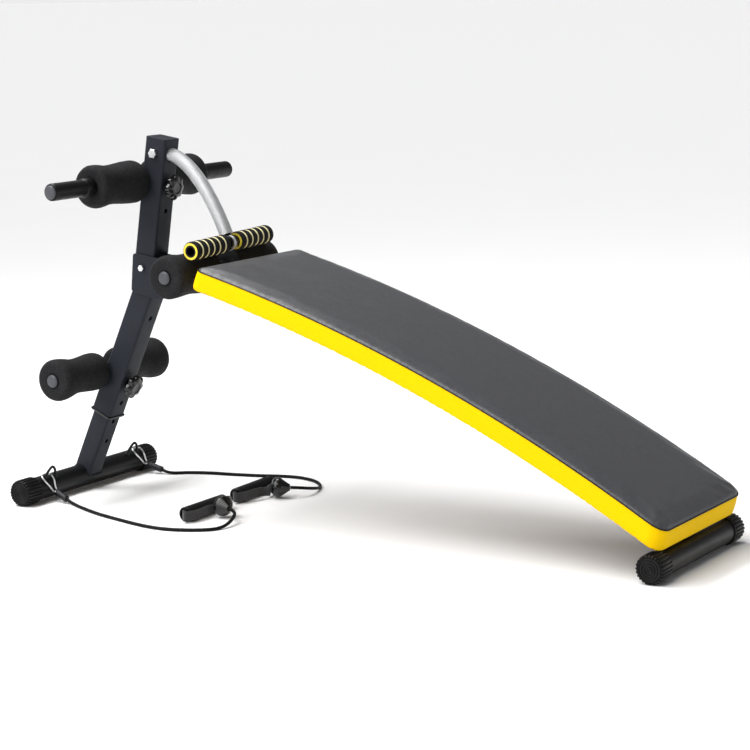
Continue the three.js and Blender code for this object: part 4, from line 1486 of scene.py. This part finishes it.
def swell(pad):
    """Inflates the skin a little with the cloth solver, held at its base and its seam."""
    shape = in_scene("pad_shape", pad.data.copy())
    remesh = pad.modifiers.new("remesh", "REMESH")
    remesh.mode = "VOXEL"
    remesh.voxel_size = 0.0055
    remesh.use_smooth_shade = True
    onto_shape = pad.modifiers.new("onto_shape", "SHRINKWRAP")
    onto_shape.target = shape
    onto_shape.wrap_method = "NEAREST_SURFACEPOINT"
    bpy.context.view_layer.update()
    apply_modifiers(pad, 80)
    bpy.data.objects.remove(shape)
    rest = [vertex.co.copy() for vertex in pad.data.vertices]
    pins = pad.vertex_groups.new(name="held")
    for vertex in pad.data.vertices:
        height = height_above_arc(vertex.co)
        weight = 1.0 if height < 0.006 else 0.0
        if abs(height - BAND_HEIGHT) < 0.0035:
            weight = 0.85
        if weight:
            pins.add([vertex.index], weight, "REPLACE")
    cloth = pad.modifiers.new("cloth", "CLOTH")
    cloth.settings.quality = 5
    cloth.settings.mass = 0.3
    cloth.settings.tension_stiffness = 20
    cloth.settings.compression_stiffness = 20
    cloth.settings.bending_stiffness = 8
    cloth.settings.use_pressure = True
    cloth.settings.uniform_pressure_force = 4
    cloth.settings.vertex_group_mass = "held"
    cloth.settings.effector_weights.gravity = 0
    cloth.collision_settings.use_collision = False
    cloth.point_cache.frame_start = 1
    cloth.point_cache.frame_end = SWELL_FRAMES
    scene = bpy.context.scene
    for step in range(1, SWELL_FRAMES + 1):
        scene.frame_set(step)
    moved = pad.evaluated_get(bpy.context.evaluated_depsgraph_get())
    swollen = [vertex.co.copy() for vertex in moved.data.vertices]
    pad.modifiers.clear()
    scene.frame_set(1)
    for vertex, was, now in zip(pad.data.vertices, rest, swollen):
        move = now - was
        vertex.co = was + move * min(1.0, MOST_SWELL / max(move.length, 1e-9))


def seat_pad():
    """The cushion: a black top and a yellow band that meet at the seam."""
    pad = closed_pad()
    swell(pad)
    subdivide = pad.modifiers.new("subdivide", "SUBSURF")
    subdivide.levels = 1
    subdivide.render_levels = 1
    apply_modifiers(pad, 60)
    for vertex in pad.data.vertices:
        off_seam = height_above_arc(vertex.co) - BAND_HEIGHT
        if abs(off_seam) < SEAM_REACH:
            outwards = vertex.co - PAD_CENTRE
            outwards.y = 0
            vertex.co -= outwards.normalized() * off_seam
    pad.name = "seat_cushion"
    show(pad, "board", "pad_vinyl", "seat_pad")
    pad.data.materials.append(MATERIALS["yellow_vinyl"])
    for face in pad.data.polygons:
        height = height_above_arc(face.center)
        s, y = place_on_pad(face.center)
        inward = min(s, PAD_LENGTH - s, PAD_HALF_WIDTH - abs(y))
        face.material_index = 1 if height < BAND_HEIGHT - 0.0002 and inward < 0.03 else 0
    return pad


def pad_seam():
    """The stitched welt where the black top meets the yellow band."""
    height = BAND_HEIGHT + 0.0004
    path = [pad_point(s, y, height) for s, y in pad_outline(0.0013, height)]
    welt = wire("pad_welt", evenly([*path, path[0]], 900)[:-1], 0.0011, 8, closed=True)
    return show(welt, "board", "black_rubber")


def pad_staples():
    """Staples that hold the vinyl to the plywood base."""
    outline = pad_outline(0.016, 0)
    path = evenly([pad_point(s, y, -0.0002) for s, y in [*outline, outline[0]]], 96)
    staples = []
    for one, two in zip(path[::2], path[1::2]):
        along = (two - one).normalized() * 0.005
        staples.append(wire("staple", [one - along, one + along], 0.0004, 6))
    return show(joined("pad_staples", staples), "board", "bright_steel")


main_beam()
seat_pad()
pad_seam()
pad_staples()
frame["nodes"]["pad_base"].data.materials.clear()
frame["nodes"]["pad_base"].data.materials.append(MATERIALS["plywood"])


# ---- Floor and light ----
def make_stage():
    """A pale floor, and a studio that is bright at the horizon and darker overhead."""
    reach = 150
    points = [(-reach, -reach, 0), (reach, -reach, 0), (reach, reach, 0), (-reach, reach, 0)]
    floor = mesh_object("floor", points, [(0, 1, 2, 3)])
    nodes = Nodes("floor_paint", (0.94, 0.94, 0.94), 0.75)
    nodes.vary_roughness(nodes.noise(3, 2), 0.7, 0.8)
    floor.data.materials.append(nodes.material)
    world = bpy.data.worlds.new("studio")
    world.use_nodes = True
    tree = world.node_tree
    background = tree.nodes["Background"]
    background.inputs["Color"].default_value = (1, 1, 1, 1)
    heading = tree.nodes.new("ShaderNodeTexCoord")
    parts = tree.nodes.new("ShaderNodeSeparateXYZ")
    tree.links.new(heading.outputs["Generated"], parts.inputs["Vector"])
    fade = tree.nodes.new("ShaderNodeMapRange")
    for socket, value in zip(("From Min", "From Max", "To Min", "To Max"), (0.06, 0.24, 0.85, 0.16)):
        fade.inputs[socket].default_value = value
    tree.links.new(parts.outputs["Z"], fade.inputs["Value"])
    tree.links.new(fade.outputs["Result"], background.inputs["Strength"])
    bpy.context.scene.world = world
    bpy.context.scene.view_settings.view_transform = "Standard"


def light(name, kind, power, towards_it, **settings):
    """A lamp that shines against the direction from the bench to it."""
    data = bpy.data.lights.new(name, kind)
    data.energy = power
    for setting, value in settings.items():
        setattr(data, setting, value)
    lamp = in_scene(name, data)
    lamp.rotation_euler = (-Vector(towards_it)).to_track_quat("-Z", "Y").to_euler()
    return lamp


def area_light(name, power, place, target, size):
    wide, deep = size
    lamp = light(name, "AREA", power, Vector(place) - Vector(target),
                 shape="RECTANGLE", size=wide, size_y=deep)
    lamp.location = place


make_stage()
light("overhead", "SUN", 3.1, (-0.35, -0.55, 1.0), angle=math.radians(60))
area_light("left_strip", 60, (-1.3, 0.0, 2.6), (0.2, -0.1, 0.25), (2.6, 0.7))
area_light("front", 22, (-1.2, -3.2, 1.3), (-0.3, 0, 0.3), (1.6, 1.6))
